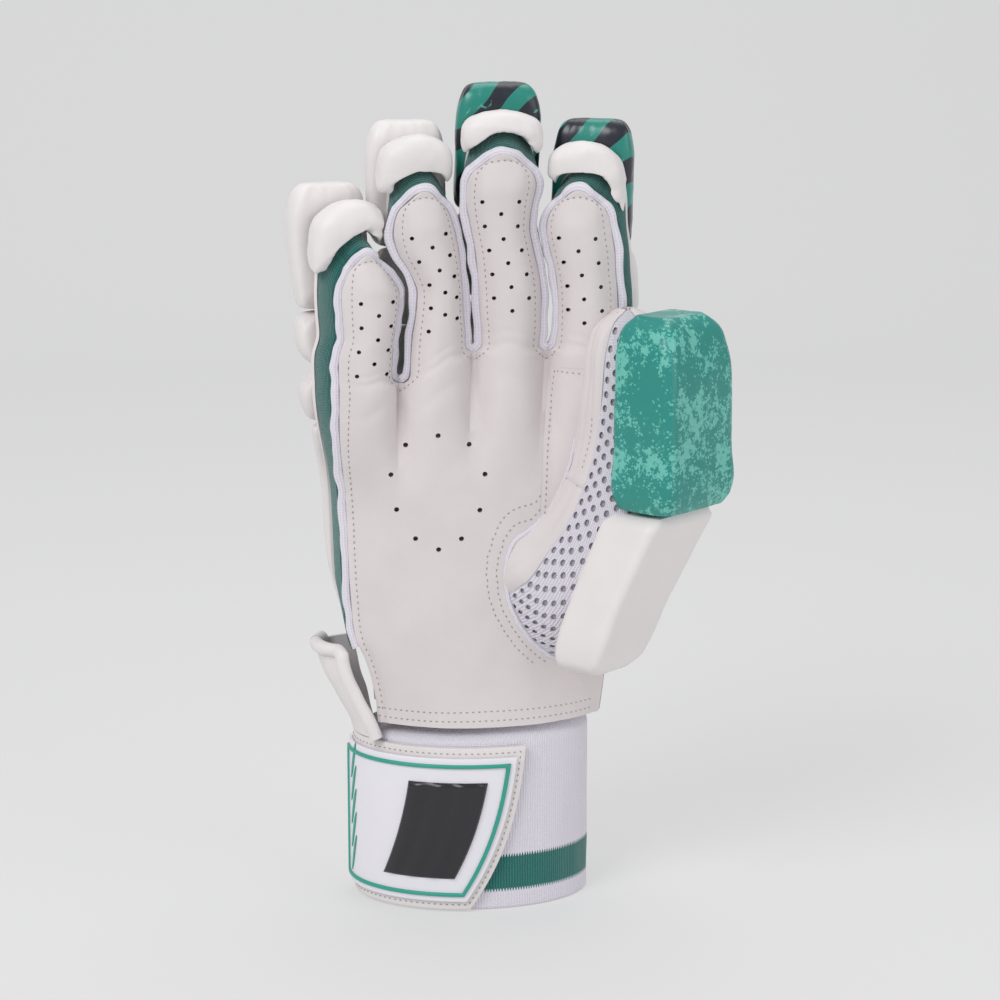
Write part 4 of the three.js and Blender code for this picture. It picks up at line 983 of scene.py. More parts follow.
class GLOVE_PG_sizes(bpy.types.PropertyGroup):
    stitch_pitch: FloatProperty(
        name="Stitch pitch",
        description="Distance from one stitch to the next, in millimetres",
        default=2.15,
        min=1.5,
        max=5,
    )
    relief: FloatProperty(
        name="Leather relief",
        description="Height of the folds and ripples in the leather, as a share of the usual",
        default=1.0,
        min=0,
        max=2,
    )
    gathers: FloatProperty(
        name="Gathers",
        description="Depth of the gathers at the ends of the rolls, in millimetres",
        default=0.45,
        min=0,
        max=2,
    )


MATERIALS = {}


def surface(name):
    """A finish by its name, made once."""
    if name in MATERIALS:
        return MATERIALS[name]
    colours = bpy.context.scene.glove_colours
    palm, padding = tuple(colours.palm), tuple(colours.padding)
    green, white = tuple(colours.knit_green), tuple(colours.knit_white)
    printed = tuple(colours.print_green)

    def shaded(colour, share):
        return tuple(c * share for c in colour)

    black, black_shade = (0.02, 0.02, 0.023), (0.012, 0.012, 0.014)
    makers = {
        "palm": lambda: leather("palm_leather", palm, shaded(palm, 0.88), 0.72, 1150.0, 0.22),
        "padding": lambda: leather(
            "padding_leather", padding, shaded(padding, 0.93), 0.5, 900.0, 0.16
        ),
        # Each knit gets a second, darker colour for the painted shade in its grooves.
        "edging": lambda: knit("edging_knit", white, shaded(white, 0.84), 0.9, 0.7, 0.4),
        "green_knit": lambda: knit("green_knit", green, shaded(green, 0.45), 1.15, 0.9, 0.8),
        "white_knit": lambda: knit(
            "cuff_knit", white, shaded(white, 0.88), 0.85, 0.8, 0.5, green, shaded(green, 0.4)
        ),
        "banded": lambda: banded_print(
            "banded_print", printed, (0.012, 0.015, 0.025), (0.1, 0.5, 0.4)
        ),
        "speckled": lambda: speckled_print(
            "speckled_print", (0.012, 0.25, 0.21), (0.16, 0.55, 0.46)
        ),
        "mesh": lambda: knit(
            "air_mesh_yarn", shaded(white, 0.97), shaded(white, 0.7), 0.8, 0.7, 0.5
        ),
        # The backing is painted darker than the mesh yarn, as shade seen down the holes.
        "mesh_back": lambda: knit(
            "air_mesh_backing", shaded(white, 0.72), shaded(white, 0.55), 0.6, 0.6, 0.5
        ),
        "backing": lambda: leather(
            "strap_backing", shaded(padding, 0.97), shaded(padding, 0.86), 0.8, 1700.0, 0.3
        ),
        "moulded": lambda: rubber("moulded_white", (0.83, 0.81, 0.85), (0.76, 0.73, 0.79), 0.42),
        "green_rubber": lambda: rubber("green_rubber", (0.03, 0.36, 0.27), (0.02, 0.29, 0.22), 0.4),
        "black_rubber": lambda: rubber("black_rubber", black, black_shade, 0.28),
        "thread": lambda: leather("thread", (0.4, 0.36, 0.36), (0.22, 0.2, 0.2), 0.8),
    }
    MATERIALS[name] = makers[name]()
    return MATERIALS[name]


# The palm and the stalls.


def edge_distance(i, u, h):
    """Millimetres from a place on the palm's leather to its nearest free edge."""
    length = FINGERS[i]["length"]
    half = FINGERS[i]["width"] / 2 - EDGE_INSET
    if h >= 0:
        return min((1 - abs(u)) * half, (1 - h) * length)
    reach = 1e9
    below = -h * PALM_LENGTH
    for side in (-1, 1):
        outer = (i == 0 and side < 0) or (i == 3 and side > 0)
        away = (1 - u * side) * half
        reach = min(reach, away if outer else math.hypot(away, below))
    return reach


def palm_relief(i, u, h):
    """Folds, puckers and hollows of the palm's leather, outwards in mm."""
    edge = edge_distance(i, u, h)
    lift = -0.42 * math.exp(-(((edge - 2.4) / 0.8) ** 2))
    lift += 0.18 * math.exp(-(((edge - 0.9) / 0.9) ** 2))
    x, _, z = wall_point(i, u, h, False, EDGE_INSET)
    pucker = noise.noise(Vector((x / 1.7, z / 1.7, 6.2)))
    lift += 0.3 * pucker * math.exp(-(((edge - 1.4) / 1.6) ** 2))
    at = Vector((x / 26, z / 34, 3.1))
    lift += 0.9 * noise.noise(at) + 0.35 * noise.noise(at * 3.1)
    fold = noise.noise(Vector((x / 5.5, z / 30, 9.4)))
    lift += 0.3 * fold * smoothstep(z, ROOT_HEIGHT - 35, ROOT_HEIGHT + 6)
    for level, deep in ((0.04, 0.5), (0.1, 0.3), (-0.07, 0.35)):
        away = (h - level - 0.02 * math.sin(3 * u + i)) * 62
        lift -= deep * math.exp(-((away / 1.3) ** 2)) * (1 - 0.5 * u * u)
    return lift * bpy.context.scene.glove_sizes.relief


def wall_sheet(name, back, cells, palm_rows, finger_rows, relief):
    """The palm or the back of the hand: one grid below the fingers and one up each."""

    def spot(i, across, h):
        lift = relief(i, across, h) if relief else 0
        return wall_point(i, across, h, back, EDGE_INSET, lift)

    columns = 4 * cells + 3

    def palm_place(u, v):
        k = round(u * columns)
        i, c = divmod(k, cells + 1)
        return spot(i, 2 * c / cells - 1, v - 1)

    pieces = [sheet(name, columns, palm_rows, palm_place)]
    for i in range(4):
        pieces.append(
            sheet(name + str(i), cells, finger_rows, lambda u, v, i=i: spot(i, 2 * u - 1, v))
        )
    obj = merged(joined(pieces, name), 4e-6)
    return flipped(obj) if back else obj


def thumb_room():
    """All that the thumb stall takes up, for cutting its neighbours."""
    steps, sides = 40, 36
    rings = [
        [thumb_point(k / steps, 360 * a / sides, THUMB_CLEARANCE) for a in range(sides)]
        for k in range(steps + 1)
    ]
    return turned_out(strip("thumb_room", rings, closed=True))


def clear_of_thumb(obj):
    """Cuts away what stands in the thumb stall's room."""
    room = thumb_room()
    cut(obj, room)
    discard(room)
    return largest_part(obj)


def patch_outline(margin):
    corners = [
        (THUMB_ROOT[0] + x * THUMB_LENGTH, THUMB_ROOT[2] + z * THUMB_LENGTH)
        for x, z in zip(PATCH["x"], PATCH["z"])
    ]
    middle = np.mean(corners, axis=0)
    return [
        (x - math.copysign(margin, x - middle[0]), z - math.copysign(margin, z - middle[1]))
        for x, z in corners
    ]


def patch_block(margin):
    outline = patch_outline(margin)
    rings = [[(x, y, z) for x, z in outline] for y in (-60, 60)]
    return turned_out(strip("patch_block", rings, closed=True))


def vent_places():
    vents = []
    for i, finger in enumerate(FINGERS):
        for row in range(FINGER_VENT_ROWS[i]):
            h = (finger["length"] - 15 - row * VENT_PITCH) / finger["length"]
            for u in (0,) if row % 2 else (-VENT_SPREAD, VENT_SPREAD):
                x, _, z = finger_point(i, u, h, False, EDGE_INSET)
                vents.append((x, z, VENT_RADIUS))
    ring = PALM_VENT_RING
    for k in range(PALM_VENTS):
        angle = 2 * math.pi * k / PALM_VENTS + math.pi / 2
        x = ring["x"] + ring["half_width"] * (1 + 0.2 * math.sin(angle)) * math.cos(angle)
        vents.append((x, ring["z"] + ring["half_height"] * math.sin(angle), PALM_VENT_RADIUS))
    return vents


def vent_punch():
    """One object of thin rods that cut every vent."""
    rods = []
    for x, z, radius in vent_places():
        place = in_frame((x, -28, z))
        bpy.ops.object.select_all(action="DESELECT")
        bpy.ops.mesh.primitive_cylinder_add(
            vertices=14,
            radius=radius / 1000,
            depth=0.05,
            location=place,
            rotation=(math.pi / 2, 0, 0),
        )
        bpy.ops.object.transform_apply(location=True, rotation=True, scale=True)
        rods.append(bpy.context.object)
    return joined(rods, "vent_punch")


def edge_path(inset):
    """The line of stitches round the leather, inset from its edge, in order."""

    def spot(i, side, h):
        half = FINGERS[i]["width"] / 2 - EDGE_INSET
        u = side * (1 - inset / half)
        return wall_point(i, u, h, False, EDGE_INSET, palm_relief(i, u, h))

    steps, tip_steps = 30, 12
    path = [spot(0, -1, k / (2 * steps) - 1) for k in range(2, 2 * steps)]
    for i, finger in enumerate(FINGERS):
        top = 1 - inset / finger["length"]
        path += [spot(i, -1, top * k / steps) for k in range(steps)]
        path += [spot(i, 0.8 * (2 * k / tip_steps - 1), top) for k in range(tip_steps + 1)]
        path += [spot(i, 1, top * (1 - k / steps)) for k in range(1, steps + 1)]
        if i < 3:
            x, y, z = wall_point(i, 1, 0, False, EDGE_INSET)
            other = wall_point(i + 1, -1, 0, False, EDGE_INSET)
            path.append(((x + other[0]) / 2, (y + other[1]) / 2, z - inset - 0.6))
    path += [spot(3, 1, -0.035 * k) for k in range(4)]
    return path


def wrist_path(inset):
    """A line of stitches along the palm's lower edge."""
    h = inset / PALM_LENGTH - 1
    path = []
    for i in range(4):
        path += [wall_point(i, 2 * k / 8 - 1, h, False, EDGE_INSET) for k in range(8)]
    return path


def beside(skin, room, away):
    """A line on the palm's skin that keeps its distance from the thumb's room."""
    tree, other = skin_tree(skin), skin_tree(room)
    path = []
    for z in np.linspace(NOTCH_LOW, NOTCH_HIGH, 70):
        for x in np.arange(-16, 44, 0.4):
            spot = tree.ray_cast(Vector(in_frame((x, -70, z))), Vector((0, 1, 0)))[0]
            if spot is None:
                continue
            if other.find_nearest(spot)[3] < away / 1000:
                path.append(tuple(np.array(spot) * 1000 - SHIFT))
                break
    return path


def on_front(skin, corners):
    """A line over the front of a skin through corners given in X and Z."""
    tree = skin_tree(skin)
    path = []
    for (xa, za), (xb, zb) in zip(corners[:-1], corners[1:]):
        for share in np.linspace(0, 1, 24):
            x, z = mix(xa, xb, share), mix(za, zb, share)
            spot = tree.ray_cast(Vector(in_frame((x, -70, z))), Vector((0, 1, 0)))[0]
            if spot is not None:
                path.append(tuple(np.array(spot) * 1000 - SHIFT))
    return path


def piping(name, path, radius, sides=10):
    """A round strip along a path in mm."""
    path = resampled(path, 0.8)
    rings = []
    for k, point in enumerate(path):
        ahead = path[min(k + 1, len(path) - 1)] - path[max(k - 1, 0)]
        ahead = ahead / np.linalg.norm(ahead)
        side = np.cross(ahead, (0, 1, 0))
        side = side / np.linalg.norm(side)
        up = np.cross(side, ahead)
        ring = []
        for turn in np.linspace(0, 2 * math.pi, sides, endpoint=False):
            out = side * math.cos(turn) + up * math.sin(turn)
            ring.append(tuple(point + radius * out))
        rings.append(ring)
    return smooth(turned_out(strip(name, rings, True, (6, 0.8 * len(rings)))), 60)


class GLOVE_OT_palm(bpy.types.Operator):
    """Palm leather with its vents, the web patch and their stitches"""

    bl_idname = "glove.palm"
    bl_label = "Palm"

    def execute(self, context):
        room = thumb_room()
        leather_sheet = wall_sheet(
            "palm_leather", back=False, cells=22, palm_rows=104, finger_rows=62, relief=palm_relief
        )
        thickened(leather_sheet, LEATHER)
        cut(leather_sheet, room)
        largest_part(leather_sheet)
        patch = leather_sheet.copy()
        patch.data = leather_sheet.data.copy()
        patch.name = "web_patch_leather"
        context.scene.collection.objects.link(patch)
        block = patch_block(0)
        cut(patch, block, "INTERSECT")
        moved(patch, co_of(patch) - np.array([0, PATCH_LIFT / 1000, 0]))
        punch = vent_punch()
        cut(leather_sheet, punch)
        for obj in (block, punch):
            discard(obj)
        smooth(leather_sheet, 40)
        smooth(patch, 40)
        finish_piece(leather_sheet, surface("palm"), ["palm"], "palm_leather")
        finish_piece(patch, surface("palm"), ["web_patch"], "palm_leather")
        rows = [edge_path(STITCH_INSET), wrist_path(STITCH_INSET), wrist_path(HEM_INSET)]
        rows += [beside(leather_sheet, room, away) for away in (3.4, 6.0)]
        stitches("palm_stitches", rows, leather_sheet)
        corners = patch_outline(1.5)
        free_sides = [corners[k] for k in (2, 3, 4, 0)]
        stitches("patch_stitches", [on_front(patch, free_sides)], patch)
        hem = beside(leather_sheet, room, 1.0)
        finish_piece(piping("notch_edging", hem, 0.8), surface("edging"), (), "lilac_edging")
        discard(room)
        return {"FINISHED"}


def outline_places():
    """Places round the palm's leather in order, dense enough for a smooth edge."""
    places = []
    for k in range(70):
        h = mix(WRIST_SHARE, 0, k / 70)
        places.append((0, -1, h, "outer"))
    for i in range(4):
        for k in range(40):
            places.append((i, -1, 0.97 * k / 40, "outer" if i == 0 else "slit"))
        for k in range(15):
            places.append((i, 2 * k / 14 - 1, 1, "tip"))
        for k in range(40):
            places.append((i, 1, 0.97 * (1 - (k + 1) / 40), "outer" if i == 3 else "slit"))
        if i < 3:
            places.append((i, 1, 0, "crotch"))
    for k in range(8):
        places.append((3, 1, mix(0, WEB_SHARE, (k + 1) / 8), "outer"))
    return places


def boundary_frames(places, back):
    """Points along an edge, the way out of the sheet there and the way into the hand."""
    points = []
    for i, u, h, side in places:
        point = np.array(wall_point(i, u, h, back, EDGE_INSET))
        if side == "crotch":
            point = (point + np.array(wall_point(i + 1, -1, 0, back, EDGE_INSET))) / 2
        points.append(point)
    frames = []
    for k, (i, u, h, side) in enumerate(places):
        tangent = points[min(k + 2, len(points) - 1)] - points[max(k - 2, 0)]
        tangent = tangent / np.linalg.norm(tangent)
        turn = math.radians(FINGERS[i]["turn"])
        depth = np.array([-math.sin(turn), math.cos(turn), 0])
        out = np.cross(tangent, depth)
        out = out / np.linalg.norm(out)
        inward = np.cross(out, tangent)
        inward = inward / np.linalg.norm(inward)
        if (inward[1] < 0) != back:
            inward = -inward
        frames.append({"i": i, "side": side, "point": points[k], "out": out, "inward": inward})
    return frames


class GLOVE_OT_edging(bpy.types.Operator):
    """Knit edging that shows round the palm's leather"""

    bl_idname = "glove.edging"
    bl_label = "Edging"

    def execute(self, context):
        rings = []
        for k, f in enumerate(boundary_frames(outline_places(), False)):
            reach = 0.45 if f["side"] == "crotch" else 1
            ring = []
            for a in range(12):
                turn = 2 * math.pi * a / 12
                wave = noise.noise(Vector((k * 0.21, 0.3, 7.7)))
                wide = RIM_WIDTH + SEAM + EDGING_TUCK + 0.9 * wave
                across = (0.5 - 0.5 * math.cos(turn)) * wide - EDGING_TUCK
                deep = LEATHER / 2 + 0.25 - EDGING_RADIUS * math.sin(turn) + 0.3 * wave
                ring.append(f["point"] + f["out"] * across * reach + f["inward"] * deep)
            rings.append(ring)
        obj = turned_out(strip("palm_edging", rings, True, (8, 0.9 * len(rings))))
        smooth(clear_of_thumb(obj), 60)
        finish_piece(obj, surface("edging"), ["palm_rim"], "lilac_edging")
        return {"FINISHED"}


def side_wall(name, places, weave, rim=SEAM + 0.5 * RIM_WIDTH):
    """A bulging wall from the palm's edge to the back panel, out beyond its rim."""
    fronts, backs = boundary_frames(places, False), boundary_frames(places, True)
    rings = []
    length = 0
    for k, (front, back) in enumerate(zip(fronts, backs)):
        bulge = 0.2 if front["side"] == "slit" else GUSSET_BULGE
        start = front["point"] + front["out"] * rim
        start = start + front["inward"] * (LEATHER / 2 + RIM_THICKNESS / 2 + SEAM)
        end = back["point"] - back["out"] * KNIT + back["inward"] * (LEATHER + 2 * SEAM)
        out = front["out"] + back["out"]
        out = out / np.linalg.norm(out)
        outer, inner = [], []
        for c in range(13):
            t = c / 12
            point = start + (end - start) * t + out * bulge * 4 * t * (1 - t)
            outer.append(point + out * KNIT / 2)
            inner.append(point - out * KNIT / 2)
        rings.append(outer + inner[::-1])
        if k:
            length += np.linalg.norm(rings[k][0] - rings[k - 1][0])
    return turned_out(strip(name, rings, True, (weave, length)))


class GLOVE_OT_gussets(bpy.types.Operator):
    """Knit side walls of the finger stalls and under the thumb"""

    bl_idname = "glove.gussets"
    bl_label = "Gussets"

    def execute(self, context):
        places = [p for p in outline_places() if p[3] != "crotch"]
        for i, finger in enumerate(FINGERS):
            own = [p for p in places if p[0] == i]
            obj = side_wall(finger["name"] + "_knit_wall", own, 44)
            if i == 3:
                clear_of_thumb(obj)
            smooth(obj, 60)
            finish_piece(obj, surface("green_knit"), [finger["name"] + "_gusset"], "green_knit")
        heel = [(3, 1, mix(WRIST_SHARE, -1, k / 12), "outer") for k in range(13)]
        obj = side_wall("heel_leather_wall", heel, 40, -KNIT / 2)
        smooth(clear_of_thumb(obj), 60)
        finish_piece(obj, surface("palm"), ["heel_gusset"], "palm_leather")
        return {"FINISHED"}


class GLOVE_OT_back(bpy.types.Operator):
    """Leather back of the hand under the pads"""

    bl_idname = "glove.back"
    bl_label = "Back panel"

    def execute(self, context):
        obj = wall_sheet(
            "back_leather", back=True, cells=14, palm_rows=70, finger_rows=46, relief=None
        )
        thickened(obj, LEATHER)
        smooth(clear_of_thumb(obj), 45)
        finish_piece(obj, surface("padding"), ["back_panel"], "pearl_leather")
        return {"FINISHED"}


def end_gathers(obj, seed, depth=0.35, reach=5.0, folds=17):
    """Small gathers that fan out from both ends of a pad."""
    co, normals = co_of(obj), normals_of(obj)
    low, high = co.min(0), co.max(0)
    middle = (low + high) / 2
    top = (high[2] - co[:, 2]) * 1000
    bottom = (co[:, 2] - low[2]) * 1000
    turn = np.arctan2(co[:, 1] - middle[1], co[:, 0] - middle[0])
    fan = np.sin(folds * turn + seed) * 0.6 + np.sin((folds * 1.7) * turn + 2 * seed) * 0.4
    strength = np.exp(-((top / reach) ** 2)) + 0.8 * np.exp(-((bottom / reach) ** 2))
    facing = np.clip(1.15 - np.abs(normals[:, 2]), 0, 1)
    lift = depth * fan * strength * facing
    return moved(obj, co + normals * lift[:, None] / 1000)


def domed(obj, reach, narrow):
    """Rounds a pad's upper end over, within a reach in mm."""
    co = co_of(obj)
    middle = (co.min(0) + co.max(0)) / 2
    share = np.clip(1 - (co[:, 2].max() - co[:, 2]) * 1000 / reach, 0, 1) ** 2
    for axis in (0, 1):
        co[:, axis] = middle[axis] + (co[:, axis] - middle[axis]) * (1 - narrow * share)
    return moved(obj, co)


def pad_from(node, name, levels, seed, ripple=0.3, gathers=1.0, dome=0.0):
    obj = solid_copy(node, name)
    subdivided(obj, levels)
    if dome:
        domed(obj, 13, dome)
    rippled(obj, ripple, 9, seed)
    rippled(obj, ripple * 0.5, 3.5, seed + 4)
    if gathers:
        end_gathers(obj, seed, gathers * bpy.context.scene.glove_sizes.gathers)
    alone(obj)
    bpy.ops.object.shade_smooth()
    return obj


class GLOVE_OT_rolls(bpy.types.Operator):
    """Foam rolls and pads on the backs of the fingers and the hand"""

    bl_idname = "glove.rolls"
    bl_label = "Rolls and pads"

    def execute(self, context):
        for i, finger in enumerate(FINGERS):
            for k, part in enumerate(("tip_roll", "mid_roll", "base_roll", "hand_pad")):
                node = finger["name"] + "_" + part
                tip = part == "tip_roll"
                obj = pad_from(node, node + "_foam", 3, 5 * i + k + 1, dome=0.2 if tip else 0)
                printed = tip and finger["name"] in ("middle", "index")
                slot = "banded_print" if printed else "pearl_leather"
                finish_piece(obj, surface("banded" if printed else "padding"), [node], slot)
        obj = pad_from("wrist_pad", "wrist_pad_foam", 2, 31)
        finish_piece(obj, surface("padding"), ["wrist_pad"], "pearl_leather")
        return {"FINISHED"}


class GLOVE_OT_caps(bpy.types.Operator):
    """Padded caps above the fingertips"""

    bl_idname = "glove.caps"
    bl_label = "Fingertip caps"

    def execute(self, context):
        for i, finger in enumerate(FINGERS):
            node = finger["name"] + "_cap"
            obj = pad_from(node, node + "_foam", 3, 41 + i, 0.4, 0.8)
            finish_piece(obj, surface("padding"), [node], "pearl_leather")
        return {"FINISHED"}


def panel_angle(which, along):
    """Angle round the thumb of a seam between its panels, at a share of its length."""
    if which in ("rear", "full"):
        return REAR_SEAM + (360 if which == "full" else 0)
    return course(PANEL_COURSE, "along", which, along)


def panel_place(start, end, u, v, outside):
    radius = course(THUMB_COURSE, "along", "deep", v) * THUMB_LENGTH
    gap = min(THUMB_PANEL_SEAM / radius * 90 / math.pi, 8)
    angle = mix(panel_angle(start, v) + gap, panel_angle(end, v) - gap, u)
    return thumb_point(v, angle, outside)


def panel_width(start, end, v):
    radius = course(THUMB_COURSE, "along", "deep", v) * THUMB_LENGTH
    return math.radians(abs(panel_angle(end, v) - panel_angle(start, v))) * radius


def thumb_panel(name, start, end, columns, relief, wall=LEATHER):
    """One panel of the stall between two seams, as a thin wall with tucked edges."""

    def place(u, v):
        edge = min(u, 1 - u) * panel_width(start, end, v)
        tuck = 0.45 * math.exp(-((edge / 0.8) ** 2))
        lip = 0.25 * math.exp(-(((edge - 2) / 1.0) ** 2))
        return panel_place(start, end, u, v, relief(u, v) - tuck + lip)

    obj = sheet(name, columns, 110, place, (26, 110))
    return thickened(flipped(obj), wall)


def inner_relief(u, v):
    """Long wrinkles of the thumb's inner leather, and the seam across it."""
    at = Vector((u * 6, v * 3.1, 1.7))
    lift = 1.1 * noise.noise(at) + 0.7 * noise.noise(at * 2.2)
    lift += 0.45 * noise.noise(Vector((u * 22, v * 5, 4.4)))
    across = (v - 0.44 - 0.05 * u) * 110
    crease = 0.8 * math.exp(-((across / 0.9) ** 2))
    lip = 0.3 * math.exp(-(((across - 2) / 1.2) ** 2))
    return lift - crease + lip


def plain_relief(u, v):
    return 0.15 * noise.noise(Vector((u * 3, v * 9, 5.2)))


def mesh_relief(u, v):
    return plain_relief(u, v) - MESH_DEPTH


def mesh_holes():
    """Oval rods that cut the holes of the air mesh, in staggered rows."""
    points, faces = [], []
    sides = 14
    rows = int(THUMB_REACH / (MESH_PITCH / 2))
    for row in range(2, rows - 1):
        v = row / rows
        width = panel_width("mesh_start", "mesh_end", v)
        away = MESH_EDGE + (MESH_PITCH / 2 if row % 2 else 0)
        while away < width - MESH_EDGE:
            share = away / width
            away += MESH_PITCH
            ends = [panel_place("mesh_start", "mesh_end", share, v, out) for out in (-2.5, 2)]
            ahead = panel_place("mesh_start", "mesh_end", share, v + 1 / rows, -0.25)
            inner, outer = np.array(ends[0]), np.array(ends[1])
            along = np.array(ahead) - (inner + outer) / 2
            axis = (outer - inner) / np.linalg.norm(outer - inner)
            along = along - axis * (along @ axis)
            step = np.linalg.norm(along)
            long = min(MESH_HOLE[1], 0.62 * step)
            if long < 0.5 * MESH_HOLE[1]:
                continue
            along = along / step
            side = np.cross(axis, along)
            first = len(points)
            for end in (inner, outer):
                for q in range(sides):
                    turn = 2 * math.pi * q / sides
                    ring = side * MESH_HOLE[0] * math.cos(turn) + along * long * math.sin(turn)
                    points.append(in_frame(end + ring))
            faces += tube_faces(first, 2, sides)
    return from_points("mesh_holes", points, faces)


def seam_line(which, away, low, high):
    """A line of stitches beside a seam of the thumb."""
    path = []
    for v in np.linspace(low, high, 60):
        radius = course(THUMB_COURSE, "along", "deep", v) * THUMB_LENGTH
        path.append(thumb_point(v, panel_angle(which, v) + math.degrees(away / radius), 0))
    return path


class GLOVE_OT_thumb(bpy.types.Operator):
    """Leather and mesh panels of the thumb stall"""

    bl_idname = "glove.thumb"
    bl_label = "Thumb stall"

    def execute(self, context):
        strip_seams = ("mesh_start", "mesh_end")
        inner = thumb_panel("thumb_inner_leather", "rear", "mesh_start", 60, inner_relief)
        mesh = thumb_panel("thumb_air_mesh", *strip_seams, 30, plain_relief, 0.7)
        backing = thumb_panel("thumb_mesh_backing", *strip_seams, 30, mesh_relief, 0.3)
        holes = mesh_holes()
        cut(mesh, holes)
        discard(holes)
        back = thumb_panel("thumb_back_leather", "mesh_end", "full", 40, plain_relief)
        for obj, finish, node, slot in (
            (inner, "palm", "thumb_inner", "palm_leather"),
            (mesh, "mesh", "thumb_mesh", "air_mesh"),
            (backing, "mesh_back", "thumb_mesh", "air_mesh"),
            (back, "palm", "thumb_back", "palm_leather"),
        ):
            smooth(obj, 50)
            finish_piece(obj, surface(finish), [node], slot)
        rows = [seam_line("mesh_start", -2.2, 0.1, 0.93), seam_line("rear", 2.2, 0.3, 0.93)]
        stitches("thumb_inner_stitches", rows, inner)
        return {"FINISHED"}


def guard_ring(table, z, corner_points=6):
    """A level section of a thumb guard, a rounded rectangle facing the thumb's side."""

    def at(column):
        return course(table, "z", column, z)

    centre = np.array([at("x"), at("y"), z]) * THUMB_LENGTH + THUMB_ROOT
    turn = math.radians(GUARD_TURN)
    half_thick = GUARD_THICKNESS / 2 * at("thick")
    half_wide = GUARD_WIDTH / 2 * at("wide")
    corner = GUARD_CORNER * half_thick
    ring = []
    for quarter in range(4):
        sign_out = 1 if quarter in (0, 3) else -1
        sign_across = 1 if quarter in (0, 1) else -1
        for k in range(corner_points + 1):
            angle = math.radians(90 * (quarter + k / corner_points))
            out = sign_out * (half_thick - corner) + corner * math.cos(angle)
            across = sign_across * (half_wide - corner) + corner * math.sin(angle)
            ring.append((out, across))
    side_steps = 14
    dense = []
    for k, (out, across) in enumerate(ring):
        after = ring[(k + 1) % len(ring)]
        dense.append((out, across))
        if (k + 1) % (corner_points + 1) == 0:
            for share in np.arange(1, side_steps) / side_steps:
                dense.append((mix(out, after[0], share), mix(across, after[1], share)))
    return [
        (
            centre[0] + out * math.cos(turn) - across * math.sin(turn),
            centre[1] + out * math.sin(turn) + across * math.cos(turn),
            centre[2],
        )
        for out, across in dense
    ]


def guard(name, table):
    """A guard through its level sections, closed by shrinking rings at both ends."""
    low, high = table["z"][0], table["z"][-1]
    steps = 44
    rings = [guard_ring(table, mix(low, high, k / steps)) for k in range(steps + 1)]
    middle_low, middle_high = np.mean(rings[0], 0), np.mean(rings[-1], 0)

    def cap(ring, middle, share):
        return [tuple(mix(np.array(p), middle, share)) for p in ring]

    caps = (0.2, 0.45, 0.75, 1.0)
    rings = (
        [cap(rings[0], middle_low, s) for s in reversed(caps)]
        + rings
        + [cap(rings[-1], middle_high, s) for s in caps]
    )
    return turned_out(strip(name, rings, True))


class GLOVE_OT_guards(bpy.types.Operator):
    """The two foam guards of the thumb"""

    bl_idname = "glove.guards"
    bl_label = "Thumb guards"

    def execute(self, context):
        for k, (node, table, finish, slot) in enumerate(
            (
                ("thumb_tip_guard", TIP_GUARD_COURSE, "speckled", "speckled_print"),
                ("thumb_base_guard", BASE_GUARD_COURSE, "padding", "pearl_leather"),
            )
        ):
            obj = guard(node + "_foam", table)
            rippled(obj, 0.35, 16, 61 + k)
            rippled(obj, 0.12, 5, 71 + k)
            smooth(clear_of_thumb(obj), 55)
            finish_piece(obj, surface(finish), [node], slot)
        return {"FINISHED"}


class GLOVE_OT_cuff(bpy.types.Operator):
    """Knit wrist tube with its stripe"""

    bl_idname = "glove.cuff"
    bl_label = "Cuff"

    def execute(self, context):
        high = CUFF_HEIGHT + CUFF_TUCK
        levels = [(0, -0.55), (0.35, -0.12), (0.8, 0)]
        levels += [(z, 0) for z in np.linspace(3, CUFF_NECK, 30)]
        levels += [(z, 0) for z in np.linspace(CUFF_HEIGHT - 3, high - 0.4, 12)]
        levels += [(high, -0.5), (high, -CUFF_WALL + 0.5), (high - 0.4, -CUFF_WALL)]
        levels += [(z, -CUFF_WALL) for z in np.linspace(high - 3, CUFF_NECK, 6)]
        levels += [(CUFF_HEIGHT / 2, -CUFF_WALL), (0.8, -CUFF_WALL), (0, -CUFF_WALL + 0.55)]
        rows = len(levels)
        columns = 240

        def place(u, v):
            z, outside = levels[round(v * rows) % rows]
            turn = 2 * math.pi * u
            at = Vector((6 * math.cos(turn), 6 * math.sin(turn), z / 20))
            dent = 0.35 * noise.noise(at)
            free = smoothstep(z, 2, 10) * (1 - smoothstep(z, 50, 60))
            return cuff_point(360 * u, z, outside + min(dent, 0.1) * free)

        around = math.pi * (CUFF_WIDTH + CUFF_DEPTH) / 2
        obj = merged(sheet("cuff_knit", columns, rows, place, (around, 2 * high)))
        smooth(facing_out(obj), 60)
        finish_piece(obj, surface("white_knit"), ["cuff"], "white_knit")
        return {"FINISHED"}


def band(name, start, margin, outside, thickness, columns, bevel):
    """A band round the cuff, from an angle to the strap's slanted end."""

    def place(u, v):
        z = mix(STRAP_LIFT + margin, STRAP_TOP - margin, v)
        angle = mix(start, strap_end(z, front_degrees(margin)), u)
        x, y, _ = cuff_point(angle, min(z, CUFF_NECK), outside)
        return x, y, z

    obj = sheet(name, columns, 24, place, (150, 59))
    thickened(obj, thickness)
    modified(
        obj,
        "BEVEL",
        width=bevel / 1000,
        segments=3,
        limit_method="ANGLE",
        angle_limit=math.radians(50),
    )
    return smooth(obj, 40)


